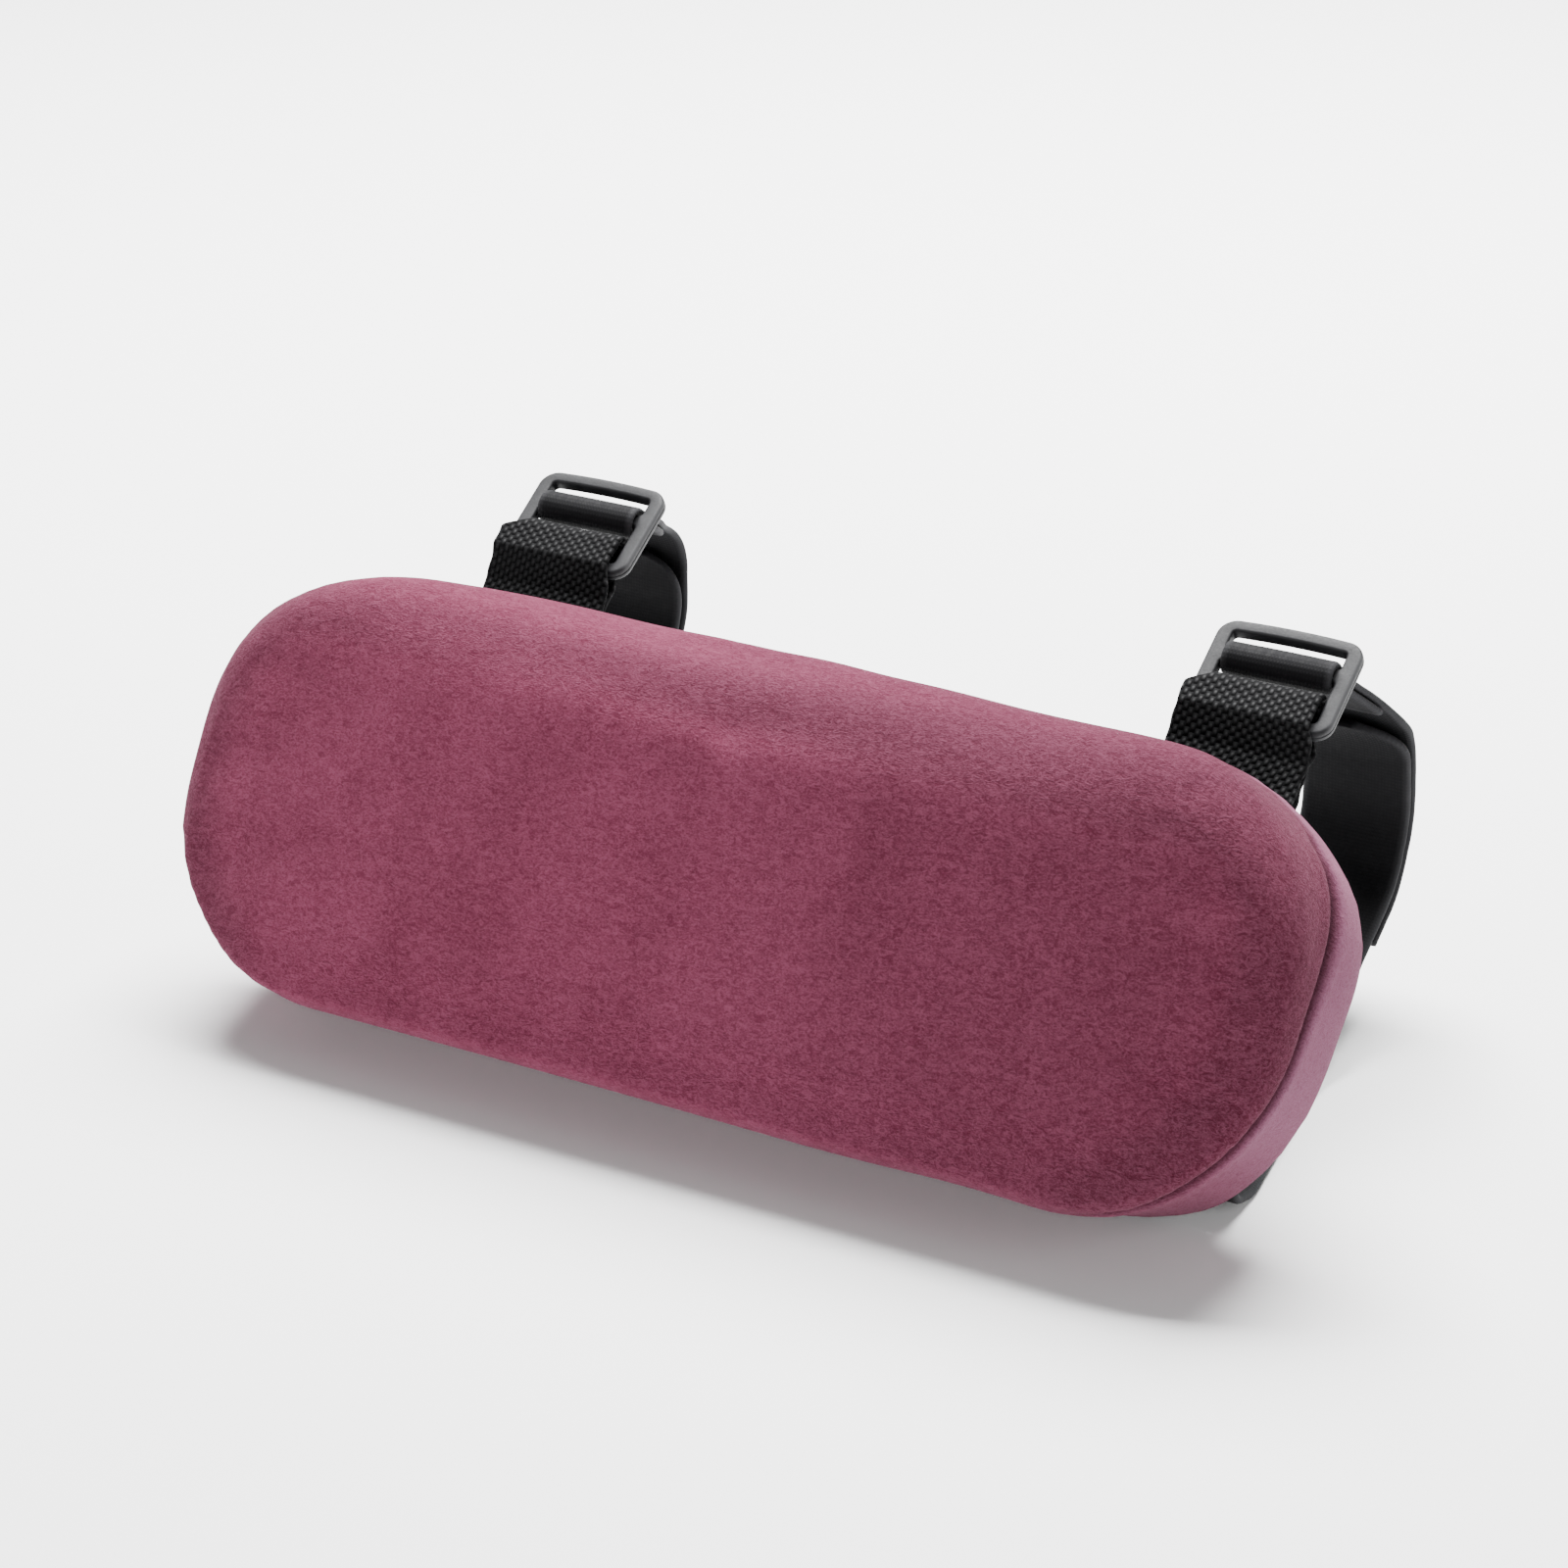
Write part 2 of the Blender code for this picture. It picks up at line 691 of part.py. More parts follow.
def ground_point(depth):
    """Where the middle of a strap lies when it rests on the ground at this depth."""
    lowest = Vector((PAD_DEPTH - BASE_EDGE_RADIUS, BASE_EDGE_RADIUS - PAD_WIDTH / 2))
    down = Vector((math.sin(LEAN), -math.cos(LEAN)))
    level = (lowest + down * (BASE_EDGE_RADIUS - GROUND_CLEARANCE - STRAP_THICKNESS / 2)).dot(down)
    return Vector((depth, (depth * down.x - level) / -down.y))


def mark_at(path, height):
    """The length along a path at which it first climbs through a height."""
    travelled = 0.0
    for a, b in zip(path, path[1:]):
        step = (b - a).length
        if a.y < height <= b.y:
            return travelled + step * (height - a.y) / (b.y - a.y)
        travelled += step
    raise ValueError("the path never climbs that high")


def tongue_half_widths(path):
    """Half widths of a strap whose far end is rounded off in a tongue."""
    total = path_length(path)
    travelled = 0.0
    widths = []
    for i, point in enumerate(path):
        if i:
            travelled += (point - path[i - 1]).length
        short = max(0.0, 1 - (total - travelled) / TONGUE_LENGTH)
        widths.append(STRAP_WIDTH / 2 * math.sqrt(max(1 - short ** 2.6, 0.12)))
    return widths


def finer(path, start, count):
    """The path with evenly spaced points from a length along it to its end."""
    total = path_length(path)
    head = cut_path(path, 0.0, start) if start else [path[0]]
    tail = [cut_path(path, start + (total - start) * i / count, total)[0] for i in range(1, count)]
    return head + tail + [path[-1]]


def build_strap_loop(side, x, materials, frame):
    """The strap sewn to the base, in its lower and free lengths, and the strap that closes on it."""
    loop = LOOPS[side]
    path = loop_path(side)
    hinge = mark_at(path, loop["hinge_height"])
    tip = mark_at(path, loop["tip_height"])
    strap = materials["strap"]
    lower = cut_path(path, 0.0, hinge - STRAP_HINGE_GAP / 2)
    widths = [STRAP_WIDTH / 2] * len(lower)
    shifts = base_splay(lower, x)
    name = f"lower_strap_{side}"
    add_ribbon(name, lower, STRAP_THICKNESS, widths, strap, frame, x, lower[0], shifts)

    inner = cut_path(path, hinge + STRAP_HINGE_GAP / 2, tip)
    inner = finer(inner, path_length(inner) - TONGUE_LENGTH, 7)
    pivot = cut_path(path, hinge, tip)[0]
    widths = tongue_half_widths(inner)
    shifts = splay(inner, x)
    name = f"inner_strap_{side}"
    add_ribbon(name, inner, STRAP_THICKNESS, widths, strap, frame, x, pivot, shifts)

    outer_end = mark_at(path, loop["outer_end_height"])
    build_outer_strap(side, x, materials, frame, path, outer_end, tip)


def build_outer_strap(side, x, materials, frame, path, end, tip):
    """The outer strap, folded round the middle bar, and the hook patch inside its free end."""
    bar = middle_bar(side)
    radius = FOLD_CLEARANCE + OUTER_STRAP_THICKNESS / 2
    spacing = (STRAP_THICKNESS + OUTER_STRAP_THICKNESS) / 2 + HOOK_THICKNESS + 2 * GAP
    run = offset_path(cut_path(path, end, path_length(path)), -spacing)
    run = [point for point in run if point.x > bar.x + 0.004]
    fold = wrap(bar, radius, tangent_to(run[-1], bar, radius), math.pi)
    run = finer(run + [fold[0]], 0.0, 26)[:-1]
    layer = OUTER_STRAP_THICKNESS + GAP
    inside = offset_path(run + [fold[0]], layer)[::-1]
    inside = cut_path(inside, SEWN_LAYER_START, SEWN_LAYER_START + SEWN_LAYER_LENGTH)
    strap_path = run + fold + inside
    widths = [STRAP_WIDTH / 2] * len(strap_path)
    strap = materials["strap"]
    shifts = splay(strap_path, x)
    name = f"outer_strap_{side}"
    add_ribbon(name, strap_path, OUTER_STRAP_THICKNESS, widths, strap, frame, x, bar, shifts)

    inward = OUTER_STRAP_THICKNESS / 2 + GAP + HOOK_THICKNESS / 2
    patch = cut_path(offset_path(run, inward), 0.002, tip - end - 0.008)
    widths = [STRAP_WIDTH / 2 - 0.001] * len(patch)
    hook = materials["hook_tape"]
    shifts = splay(patch, x)
    name = f"hook_patch_{side}"
    add_ribbon(name, patch, HOOK_THICKNESS, widths, hook, frame, x, bar, shifts)


def tangent_to(point, centre, radius):
    """The direction from a centre to where a line from a point touches the top of its circle."""
    to_point = point - centre
    spread = math.acos(radius / to_point.length)
    return turned(to_point.normalized(), spread)


# ---------------------------------------------------------------- stitching

def build_box_stitch(name, materials, frame, x, depth, height):
    """A sewn rectangle with a cross in it, lying on the outer face of a sewn tail."""
    curve = bpy.data.curves.new(name, "CURVE")
    curve.dimensions = "2D"
    curve.fill_mode = "BOTH"
    curve.extrude = STITCH_THICKNESS / 2
    half = Vector((STITCH_WIDTH / 2, STITCH_HEIGHT / 2))
    add_outline(curve, [(-half.x, -half.y), (half.x, -half.y), (half.x, half.y), (-half.x, half.y)])
    edge = STITCH_THREAD
    across = STITCH_THREAD * 0.5 * half.length / half.y
    upward = STITCH_THREAD * 0.5 * half.length / half.x
    for sign in (-1, 1):
        wide = (half.x - edge - across, sign * (half.y - edge))
        deep = (sign * (half.x - edge), half.y - edge - upward)
        add_outline(curve, [(-wide[0], wide[1]), wide, (0, sign * upward)])
        add_outline(curve, [(deep[0], -deep[1]), deep, (sign * across, 0)])
    stitch = add_object(name, curve, materials["thread"], frame)
    stitch.location = (x, depth + GAP + STITCH_THICKNESS / 2, height)
    stitch.rotation_euler = (math.pi / 2, 0, 0)
    return stitch


def set_on_ground(frame):
    """Moves the assembly so that it rests on Z = 0 with the middle of its footprint at the origin."""
    bpy.context.view_layer.update()
    depsgraph = bpy.context.evaluated_depsgraph_get()
    points = []
    for obj in bpy.context.scene.objects:
        if obj.type == "EMPTY" or obj.hide_render:
            continue
        evaluated = obj.evaluated_get(depsgraph)
        mesh = evaluated.to_mesh()
        points.extend(evaluated.matrix_world @ vert.co for vert in mesh.vertices)
        evaluated.to_mesh_clear()
    depths = [point.y for point in points]
    frame.location.y -= (min(depths) + max(depths)) / 2
    frame.location.z -= min(point.z for point in points)


def main():
    clear_scene()
    frame = bpy.data.objects.new("lean", None)
    bpy.context.scene.collection.objects.link(frame)
    frame.rotation_euler = (-LEAN, 0, 0)
    materials = {name: make_material(name) for name in MATERIALS}
    build_foam_core(materials, frame)
    build_top_panel(materials, frame)
    build_side_band(materials, frame)
    build_base_panel(materials, frame)
    build_zip(materials, frame)
    for side, x in (("left", -STRAP_OFFSET), ("right", STRAP_OFFSET)):
        build_webbing(side, materials, frame, x)
        build_buckle(side, materials, frame, x)
        build_strap_loop(side, x, materials, frame)
        webbing_face = PAD_DEPTH + GAP + 2 * WEBBING_THICKNESS + GAP
        middle = (WEBBING_TAIL_LOW + WEBBING_TAIL_HIGH - 0.002) / 2
        build_box_stitch(f"webbing_stitch_{side}", materials, frame, x, webbing_face, middle)
        strap_face = PAD_DEPTH + GAP + STRAP_THICKNESS
        middle = (TAIL_TOP + TAIL_BOTTOM) / 2
        strap_x = x + math.copysign(BASE_SPLAY, x)
        build_box_stitch(f"strap_stitch_{side}", materials, frame, strap_x, strap_face, middle)
    set_on_ground(frame)


main()
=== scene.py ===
"""Looks for the armrest pad, on a pale floor.

It has a plush cushion, webbings, strap loops, buckles and a zip.
"""

import math
import random

import bmesh
import bpy
import numpy as np
from mathutils import Euler, Matrix, Vector


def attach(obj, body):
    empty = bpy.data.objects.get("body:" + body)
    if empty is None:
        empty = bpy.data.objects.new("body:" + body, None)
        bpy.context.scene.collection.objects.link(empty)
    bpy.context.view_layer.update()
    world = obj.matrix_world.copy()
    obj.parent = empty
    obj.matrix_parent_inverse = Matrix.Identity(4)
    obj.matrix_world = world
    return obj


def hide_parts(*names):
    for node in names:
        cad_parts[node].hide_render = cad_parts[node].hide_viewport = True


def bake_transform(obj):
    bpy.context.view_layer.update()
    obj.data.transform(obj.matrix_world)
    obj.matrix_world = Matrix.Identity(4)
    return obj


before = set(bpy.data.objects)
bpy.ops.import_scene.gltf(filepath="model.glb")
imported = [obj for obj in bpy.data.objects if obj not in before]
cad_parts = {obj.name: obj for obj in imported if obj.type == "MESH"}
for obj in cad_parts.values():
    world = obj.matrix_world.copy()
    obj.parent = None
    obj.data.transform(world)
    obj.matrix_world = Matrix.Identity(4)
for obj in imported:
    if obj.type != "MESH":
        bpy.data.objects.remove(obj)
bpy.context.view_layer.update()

# The pad is built upright in its own frame, which leans back on the straps.
LEAN = math.radians(30)
PAD_FRAME = Matrix.Translation((0, -0.055729, 0.055956)) @ Euler((-LEAN, 0, 0)).to_matrix().to_4x4()

PAD_LENGTH = 0.250
PAD_WIDTH = 0.094
PAD_DEPTH = 0.035
CORNER_RADIUS = 0.0414
CORNER_X = PAD_LENGTH / 2 - CORNER_RADIUS
CORNER_Z = PAD_WIDTH / 2 - CORNER_RADIUS
BASE_EDGE_RADIUS = 0.006
FACE_EDGE_RADIUS_LOW = 0.0030
FACE_EDGE_RADIUS_HIGH = 0.0160
FACE_SEAM_DEPTH_LOW = 0.0036
FACE_SEAM_DEPTH_HIGH = 0.0265
GAP = 0.0003
SHELL_INSET = -0.0004
SHELL_BASE_RADIUS = 0.0045
CLOTH_SEAM_DEPTH = 0.0330
VOXEL_SIZE = 0.0028
CLOTH_FRAMES = 20
CLOTH_PRESSURE = 4.0
SWELL_CAP = 0.0024
PINNED_DEPTH = 0.0035
GROOVE_WIDTH = 0.0013
GROOVE_DEPTH = 0.0018
HEM_WIDTH = 0.0009
HEM_DEPTH = 0.0009
PUFF_HEIGHT = 0.0003
RIPPLE_HEIGHT = 0.00022
DIMPLE_HEIGHT = 0.00025
DRAFT = 0.0014

# Where the foam fills the cover a little more or less: centre x and z, reach, shift in x and z,
# and the depth from which it does, or 0 for the whole depth.
STUFFING = (
    (-0.115, 0.027, 0.024, -0.0036, 0.0026, 0),
    (-0.127, -0.008, 0.026, -0.0016, 0.0, 0),
    (-0.020, -0.047, 0.070, 0.0, 0.0008, 0),
    (0.070, -0.047, 0.022, 0.0, 0.0010, 0),
    (0.040, 0.047, 0.090, 0.0, -0.0013, 0),
    (0.125, 0.022, 0.024, 0.0034, 0.0, 0.018),
    (0.112, -0.042, 0.020, 0.0006, -0.0010, 0.018),
)

STRAP_OFFSET = 0.0835
STRAP_SPLAY = 0.0085
SPLAY_START = 0.076
SPLAY_END = 0.104
BASE_SPLAY = 0.0158
BASE_SPLAY_END = 0.050
STRAP_WIDTH = 0.0246
STRAP_THICKNESS = 0.0018
OUTER_STRAP_THICKNESS = 0.0015
HOOK_THICKNESS = 0.0007
TAIL_TOP = -0.018
TAIL_BOTTOM = -0.0385
TAIL_BEND_RADIUS = 0.0055
TOUCHDOWN_DEPTH = 0.048
TOUCHDOWN_RADIUS = 0.012
GROUND_CLEARANCE = 0.0003
TONGUE_LENGTH = 0.012
STRAP_BLEND = 0.005
LIFT_RADIUS = 0.034
LOOPS = {
    "left": {
        "buckle": (0.0626, 0.0605),
        "lift": 0.0940,
        "corners": (
            (0.1170, 0.0300, 0.030),
            (0.1165, 0.0585, 0.016),
            (0.1080, 0.0732, 0.011),
        ),
        "hinge_height": 0.004,
        "outer_end_height": 0.020,
        "tip_height": 0.0705,
    },
    "right": {
        "buckle": (0.0632, 0.0577),
        "lift": 0.0900,
        "corners": (
            (0.1180, 0.0330, 0.016),
            (0.1160, 0.0480, 0.020),
            (0.1048, 0.0618, 0.015),
            (0.0880, 0.0668, 0.040),
        ),
        "hinge_height": 0.004,
        "outer_end_height": 0.0215,
        "tip_height": 0.0640,
    },
}

WEBBING_WIDTH = 0.030
WEBBING_THICKNESS = 0.0015
WEBBING_TAIL_LOW = 0.008
WEBBING_TAIL_HIGH = 0.026
WEBBING_KNEE = Vector((0.0590, 0.0405))
WEBBING_FOLD_HEIGHT = 0.0055
WEBBING_JOIN_DROP = 0.0072
WEAVE_ACROSS = 1.25
WEAVE_ALONG = 2.05
WEBBING_TAIL_SHIFT = 0.0012
WEBBING_FOLD_SPREAD = 0.0022
WEBBING_EASE = 0.008
WEBBING_STEP = 0.0004

BUCKLE_LEAN = math.radians(30)
BUCKLE_WIDTH = 0.0324
BUCKLE_SLOT_WIDTH = 0.0254
MIDDLE_BAR_HEIGHT = 0.0142
TOP_BAR_HEIGHT = 0.0217
BAR_WIDTH = 0.0030
BUCKLE_THICKNESS = 0.0030
BUCKLE_BOW = 0.0007
FOLD_RADIUS = math.hypot(BAR_WIDTH, BUCKLE_THICKNESS) / 2 + 0.0001

COIL_HALF = 0.053
COIL_BASE = PAD_DEPTH + GAP + 0.0006 + GAP
COIL_WIDTH = 0.0044
COIL_PITCH = 0.0013


# ---------------------------------------------------------------- material helpers

class Nodes:
    """Short calls that add shader nodes to one material."""

    def __init__(self, name):
        self.material = bpy.data.materials.new(name)
        self.material.use_nodes = True
        self.tree = self.material.node_tree
        self.shader = self.tree.nodes["Principled BSDF"]

    def add(self, kind, **settings):
        node = self.tree.nodes.new(kind)
        for key, value in settings.items():
            setattr(node, key, value)
        return node

    def link(self, source, target):
        self.tree.links.new(source, target)

    def attribute(self, name):
        return self.add("ShaderNodeAttribute", attribute_name=name).outputs["Fac"]

    def coordinates(self, scale, source="Object"):
        """Texture coordinates, stretched by a scale along each axis."""
        place = self.add("ShaderNodeTexCoord")
        mapping = self.add("ShaderNodeMapping")
        mapping.inputs["Scale"].default_value = scale
        self.link(place.outputs[source], mapping.inputs["Vector"])
        return mapping.outputs["Vector"]

    def noise(self, vector, detail=4.0, roughness=0.6, distortion=0.0):
        node = self.add("ShaderNodeTexNoise")
        node.inputs["Scale"].default_value = 1.0
        node.inputs["Detail"].default_value = detail
        node.inputs["Roughness"].default_value = roughness
        node.inputs["Distortion"].default_value = distortion
        self.link(vector, node.inputs["Vector"])
        return node.outputs["Fac"]

    def wave(self, vector, direction="X", distortion=0.0):
        node = self.add("ShaderNodeTexWave", wave_type="BANDS", bands_direction=direction)
        node.inputs["Scale"].default_value = 1.0
        node.inputs["Distortion"].default_value = distortion
        self.link(vector, node.inputs["Vector"])
        return node.outputs["Fac"]

    def curve(self, value, low, high, to_low=0.0, to_high=1.0):
        """Maps a value from one range to another, clamped, with soft ends."""
        node = self.add("ShaderNodeMapRange", interpolation_type="SMOOTHSTEP")
        for name, number in (
            ("From Min", low), ("From Max", high), ("To Min", to_low), ("To Max", to_high)
        ):
            node.inputs[name].default_value = number
        self.link(value, node.inputs["Value"])
        return node.outputs["Result"]

    def math(self, operation, first, second):
        node = self.add("ShaderNodeMath", operation=operation)
        for socket, value in zip(node.inputs, (first, second)):
            if isinstance(value, (int, float)):
                socket.default_value = value
            else:
                self.link(value, socket)
        return node.outputs["Value"]

    def mix(self, factor, first, second):
        """A colour between two colours, or between two colour sockets."""
        node = self.add("ShaderNodeMix", data_type="RGBA")
        sockets = [s for s in node.inputs if s.enabled]
        for socket, value in zip(sockets, (factor, first, second)):
            if isinstance(value, tuple):
                socket.default_value = (*value, 1)
            elif isinstance(value, (int, float)):
                socket.default_value = value
            else:
                self.link(value, socket)
        return next(s for s in node.outputs if s.enabled)

    def bump(self, height, distance, strength=1.0, before=None):
        node = self.add("ShaderNodeBump")
        node.inputs["Distance"].default_value = distance
        node.inputs["Strength"].default_value = strength
        self.link(height, node.inputs["Height"])
        if before is not None:
            self.link(before, node.inputs["Normal"])
        return node.outputs["Normal"]

    def finish(self, colour, roughness, normal=None, **constants):
        """Connects colour, roughness and normal, and sets every other socket to a constant."""
        for name, value in (("Base Color", colour), ("Roughness", roughness)):
            if isinstance(value, tuple):
                self.shader.inputs[name].default_value = (*value, 1)
            elif isinstance(value, (int, float)):
                self.shader.inputs[name].default_value = value
            else:
                self.link(value, self.shader.inputs[name])
        if normal is not None:
            self.link(normal, self.shader.inputs["Normal"])
        for name, value in constants.items():
            self.shader.inputs[name.replace("_", " ")].default_value = value
        return self.material


# ---------------------------------------------------------------- materials

def plush_material():
    """Short brush-finished pile: mottled nap, a fine fuzz and a faint sheen, with painted shade and
    a painted sheen over it.
    """
    n = Nodes("plush")
    patches = n.noise(n.coordinates((26, 40, 22)), 4.0, 0.6, 0.6)
    bands = n.noise(n.coordinates((55, 20, 12)), 3.0, 0.55, 0.4)
    fuzz = n.noise(n.coordinates((520, 900, 950)), 4.0, 0.62, 1.4)
    fibres = n.noise(n.coordinates((1900, 3000, 3000)), 3.0, 0.7, 0.4)
    nap = n.math("ADD", n.math("MULTIPLY", patches, 0.55), n.math("MULTIPLY", bands, 0.45))
    nap = n.curve(nap, 0.36, 0.66)
    pile = n.mix(nap, (0.098, 0.0125, 0.0310), (0.140, 0.0235, 0.0510))
    # Painted shade: the face darker towards +x, and darker where the cushion marks it beside the
    # crease at the ends and along the upper band.
    place = n.add("ShaderNodeSeparateXYZ")
    n.link(n.coordinates((1, 1, 1)), place.inputs["Vector"])
    painted_shade = n.math("ADD", n.curve(place.outputs["X"], -0.08, 0.10), n.attribute("painted_shade"))
    pile = n.mix(n.curve(painted_shade, 0.0, 1.65, 0.06, 0.96), pile, (0.044, 0.0052, 0.0132))
    fine = n.math("ADD", n.math("MULTIPLY", fuzz, 0.5), n.math("MULTIPLY", fibres, 0.5))
    dark = n.mix(0.42, pile, (0.040, 0.004, 0.012))
    light = n.mix(0.19, pile, (0.34, 0.12, 0.19))
    pile = n.mix(n.curve(fine, 0.36, 0.64), dark, light)
    # Painted shade: dark bands between the ribs of the stretched cloth on the rolled upper edge at
    # the right end.
    rib_shade = n.curve(n.wave(n.coordinates((230, 1, 1)), "X", 0.6), 0.2, 0.9, 0.0, 0.35)
    pile = n.mix(n.math("MULTIPLY", n.attribute("ribbed"), rib_shade), pile, (0.030, 0.0035, 0.0090))
    # Painted sheen: the side band and the rolled upper edge lighter, flecked by the fine fuzz.
    painted_sheen_share = n.math("MULTIPLY", n.attribute("painted_sheen"), n.curve(fine, 0.30, 0.60, 0.45, 1.0))
    pile = n.mix(painted_sheen_share, pile, (0.178, 0.070, 0.114))
    # Painted shade: the seam grooves darkened almost to black.
    pile = n.mix(n.math("MULTIPLY", n.attribute("seam"), 0.95), pile, (0.012, 0.002, 0.005))
    normal = n.bump(fuzz, 0.0008, 0.6)
    normal = n.bump(fibres, 0.0003, 0.6, normal)
    return n.finish(
        pile,
        0.95,
        normal,
        Specular_IOR_Level=0.06,
        Sheen_Weight=0.10,
        Sheen_Roughness=0.45,
        Sheen_Tint=(0.95, 0.45, 0.60, 1),
    )


def base_material():
    """Plain woven backing cloth."""
    n = Nodes("base_cloth")
    warp = n.wave(n.coordinates((420, 1, 1)), "X")
    weft = n.wave(n.coordinates((1, 1, 420)), "Z")
    weave = n.math("MULTIPLY", warp, weft)
    blotch = n.noise(n.coordinates((60, 60, 60)), 4.0)
    colour = n.mix(weave, (0.0035, 0.0035, 0.0042), (0.0120, 0.0120, 0.0135))
    colour = n.mix(n.curve(blotch, 0.35, 0.7, 0.0, 0.35), colour, (0.0190, 0.0188, 0.0205))
    # Painted shade: the seam grooves darkened.
    colour = n.mix(n.math("MULTIPLY", n.attribute("seam"), 0.8), colour, (0.004, 0.004, 0.005))
    return n.finish(colour, 0.88, n.bump(weave, 0.0003, 0.7), Specular_IOR_Level=0.12)


def webbing_material():
    """Coarse black webbing in a staggered weave, with a painted highlight on the crown of each
    raised yarn.
    """
    n = Nodes("webbing")
    parts = n.add("ShaderNodeSeparateXYZ")
    n.link(n.coordinates((1 / WEAVE_ACROSS, 1 / WEAVE_ALONG, 1), "UV"), parts.inputs["Vector"])
    column = n.math("ADD", parts.outputs["X"], 100.0)
    stagger = n.math("MULTIPLY", n.math("MODULO", n.math("FLOOR", column, 0.0), 2.0), 0.5)
    row = n.math("ADD", parts.outputs["Y"], stagger)
    across = n.math("SINE", n.math("MULTIPLY", n.math("FRACT", column, 0.0), math.pi), 0.0)
    along = n.math("SINE", n.math("MULTIPLY", n.math("FRACT", row, 0.0), math.pi), 0.0)
    crown = n.math("MULTIPLY", n.math("POWER", across, 0.7), along)
    patches = n.noise(n.coordinates((0.35, 0.35, 1), "UV"), 3.0)
    # Painted highlight on the crowns of the raised yarns.
    lit = n.math("MULTIPLY", n.curve(crown, 0.50, 1.0), n.curve(patches, 0.30, 0.62, 0.40, 1.0))
    colour = n.mix(lit, (0.0022, 0.0022, 0.0026), (0.0165, 0.0165, 0.0172))
    rough = n.curve(crown, 0.3, 1.0, 0.85, 0.60)
    return n.finish(colour, rough, n.bump(crown, 0.0004, 0.8), Specular_IOR_Level=0.10)


def strap_material():
    """Smooth matte strap with a fine close weave and a painted highlight along its edges."""
    n = Nodes("strap")
    warp = n.wave(n.coordinates((0.42, 0.10, 1), "UV"), "X", 0.4)
    weft = n.wave(n.coordinates((0.10, 0.38, 1), "UV"), "Y", 0.4)
    weave = n.math("MULTIPLY", warp, weft)
    dust = n.noise(n.coordinates((0.9, 0.35, 1), "UV"), 5.0, 0.65)
    colour = n.mix(weave, (0.0026, 0.0026, 0.0033), (0.0046, 0.0046, 0.0055))
    colour = n.mix(n.curve(dust, 0.45, 0.75, 0.0, 0.30), colour, (0.012, 0.012, 0.014))
    # Painted highlight along the strap's edges.
    colour = n.mix(n.math("MULTIPLY", n.attribute("edge_highlight"), 0.5), colour, (0.040, 0.040, 0.043))
    return n.finish(
        colour,
        n.curve(dust, 0.3, 0.7, 0.70, 0.82),
        n.bump(weave, 0.00008, 0.6),
        Specular_IOR_Level=0.14,
    )


def hook_material():
    """Hook tape: rows of tiny stiff hooks."""
    n = Nodes("hook_tape")
    hooks = n.add("ShaderNodeTexVoronoi")
    hooks.inputs["Scale"].default_value = 1.0
    hooks.inputs["Randomness"].default_value = 0.35
    n.link(n.coordinates((1.7, 1.7, 1), "UV"), hooks.inputs["Vector"])
    rise = n.curve(hooks.outputs["Distance"], 0.10, 0.55, 1.0, 0.0)
    colour = n.mix(rise, (0.003, 0.003, 0.004), (0.014, 0.014, 0.016))
    return n.finish(colour, 0.75, n.bump(rise, 0.0004, 0.8), Specular_IOR_Level=0.10)


def buckle_material():
    """Moulded grey-black plastic with a fine spark-eroded grain and a painted highlight along its
    outer rim.
    """
    n = Nodes("buckle_plastic")
    grain = n.noise(n.coordinates((2600, 2600, 2600)), 3.0, 0.6)
    cloud = n.noise(n.coordinates((180, 180, 180)), 3.0)
    rim_highlight = n.attribute("rim_highlight")
    colour = n.mix(n.curve(cloud, 0.35, 0.65), (0.0090, 0.0092, 0.0104), (0.0150, 0.0152, 0.0168))
    # Painted highlight on the outer rim of the frame's faces.
    colour = n.mix(n.math("MULTIPLY", rim_highlight, 0.65), colour, (0.070, 0.071, 0.074))
    return n.finish(
        colour,
        n.curve(grain, 0.3, 0.7, 0.50, 0.64),
        n.bump(grain, 0.00006, 0.6),
        Specular_IOR_Level=0.22,
    )


def thread_material():
    n = Nodes("thread")
    twist = n.wave(n.coordinates((1900, 1900, 1900)), "DIAGONAL")
    colour = n.mix(twist, (0.012, 0.012, 0.013), (0.055, 0.055, 0.058))
    return n.finish(colour, 0.6, n.bump(twist, 0.0001, 0.6), Specular_IOR_Level=0.4)


def zip_tape_material():
    """Herringbone tape."""
    n = Nodes("zip_tape")
    first = n.wave(n.coordinates((330, 330, 330)), "DIAGONAL")
    second = n.wave(n.coordinates((330, 330, -330)), "DIAGONAL")
    side = n.wave(n.coordinates((1, 1, 240)), "Z")
    weave = n.math("ADD", n.math("MULTIPLY", first, side), n.math("MULTIPLY", second, 0.5))
    colour = n.mix(n.curve(weave, 0.1, 0.9), (0.060, 0.010, 0.024), (0.120, 0.030, 0.054))
    return n.finish(colour, 0.85, n.bump(weave, 0.00012, 0.7), Specular_IOR_Level=0.3)


def zip_coil_material():
    n = Nodes("zip_coil")
    cloud = n.noise(n.coordinates((700, 700, 700)), 3.0)
    colour = n.mix(n.curve(cloud, 0.3, 0.7), (0.075, 0.014, 0.031), (0.125, 0.032, 0.056))
    return n.finish(colour, n.curve(cloud, 0.3, 0.7, 0.30, 0.42), Specular_IOR_Level=0.5)


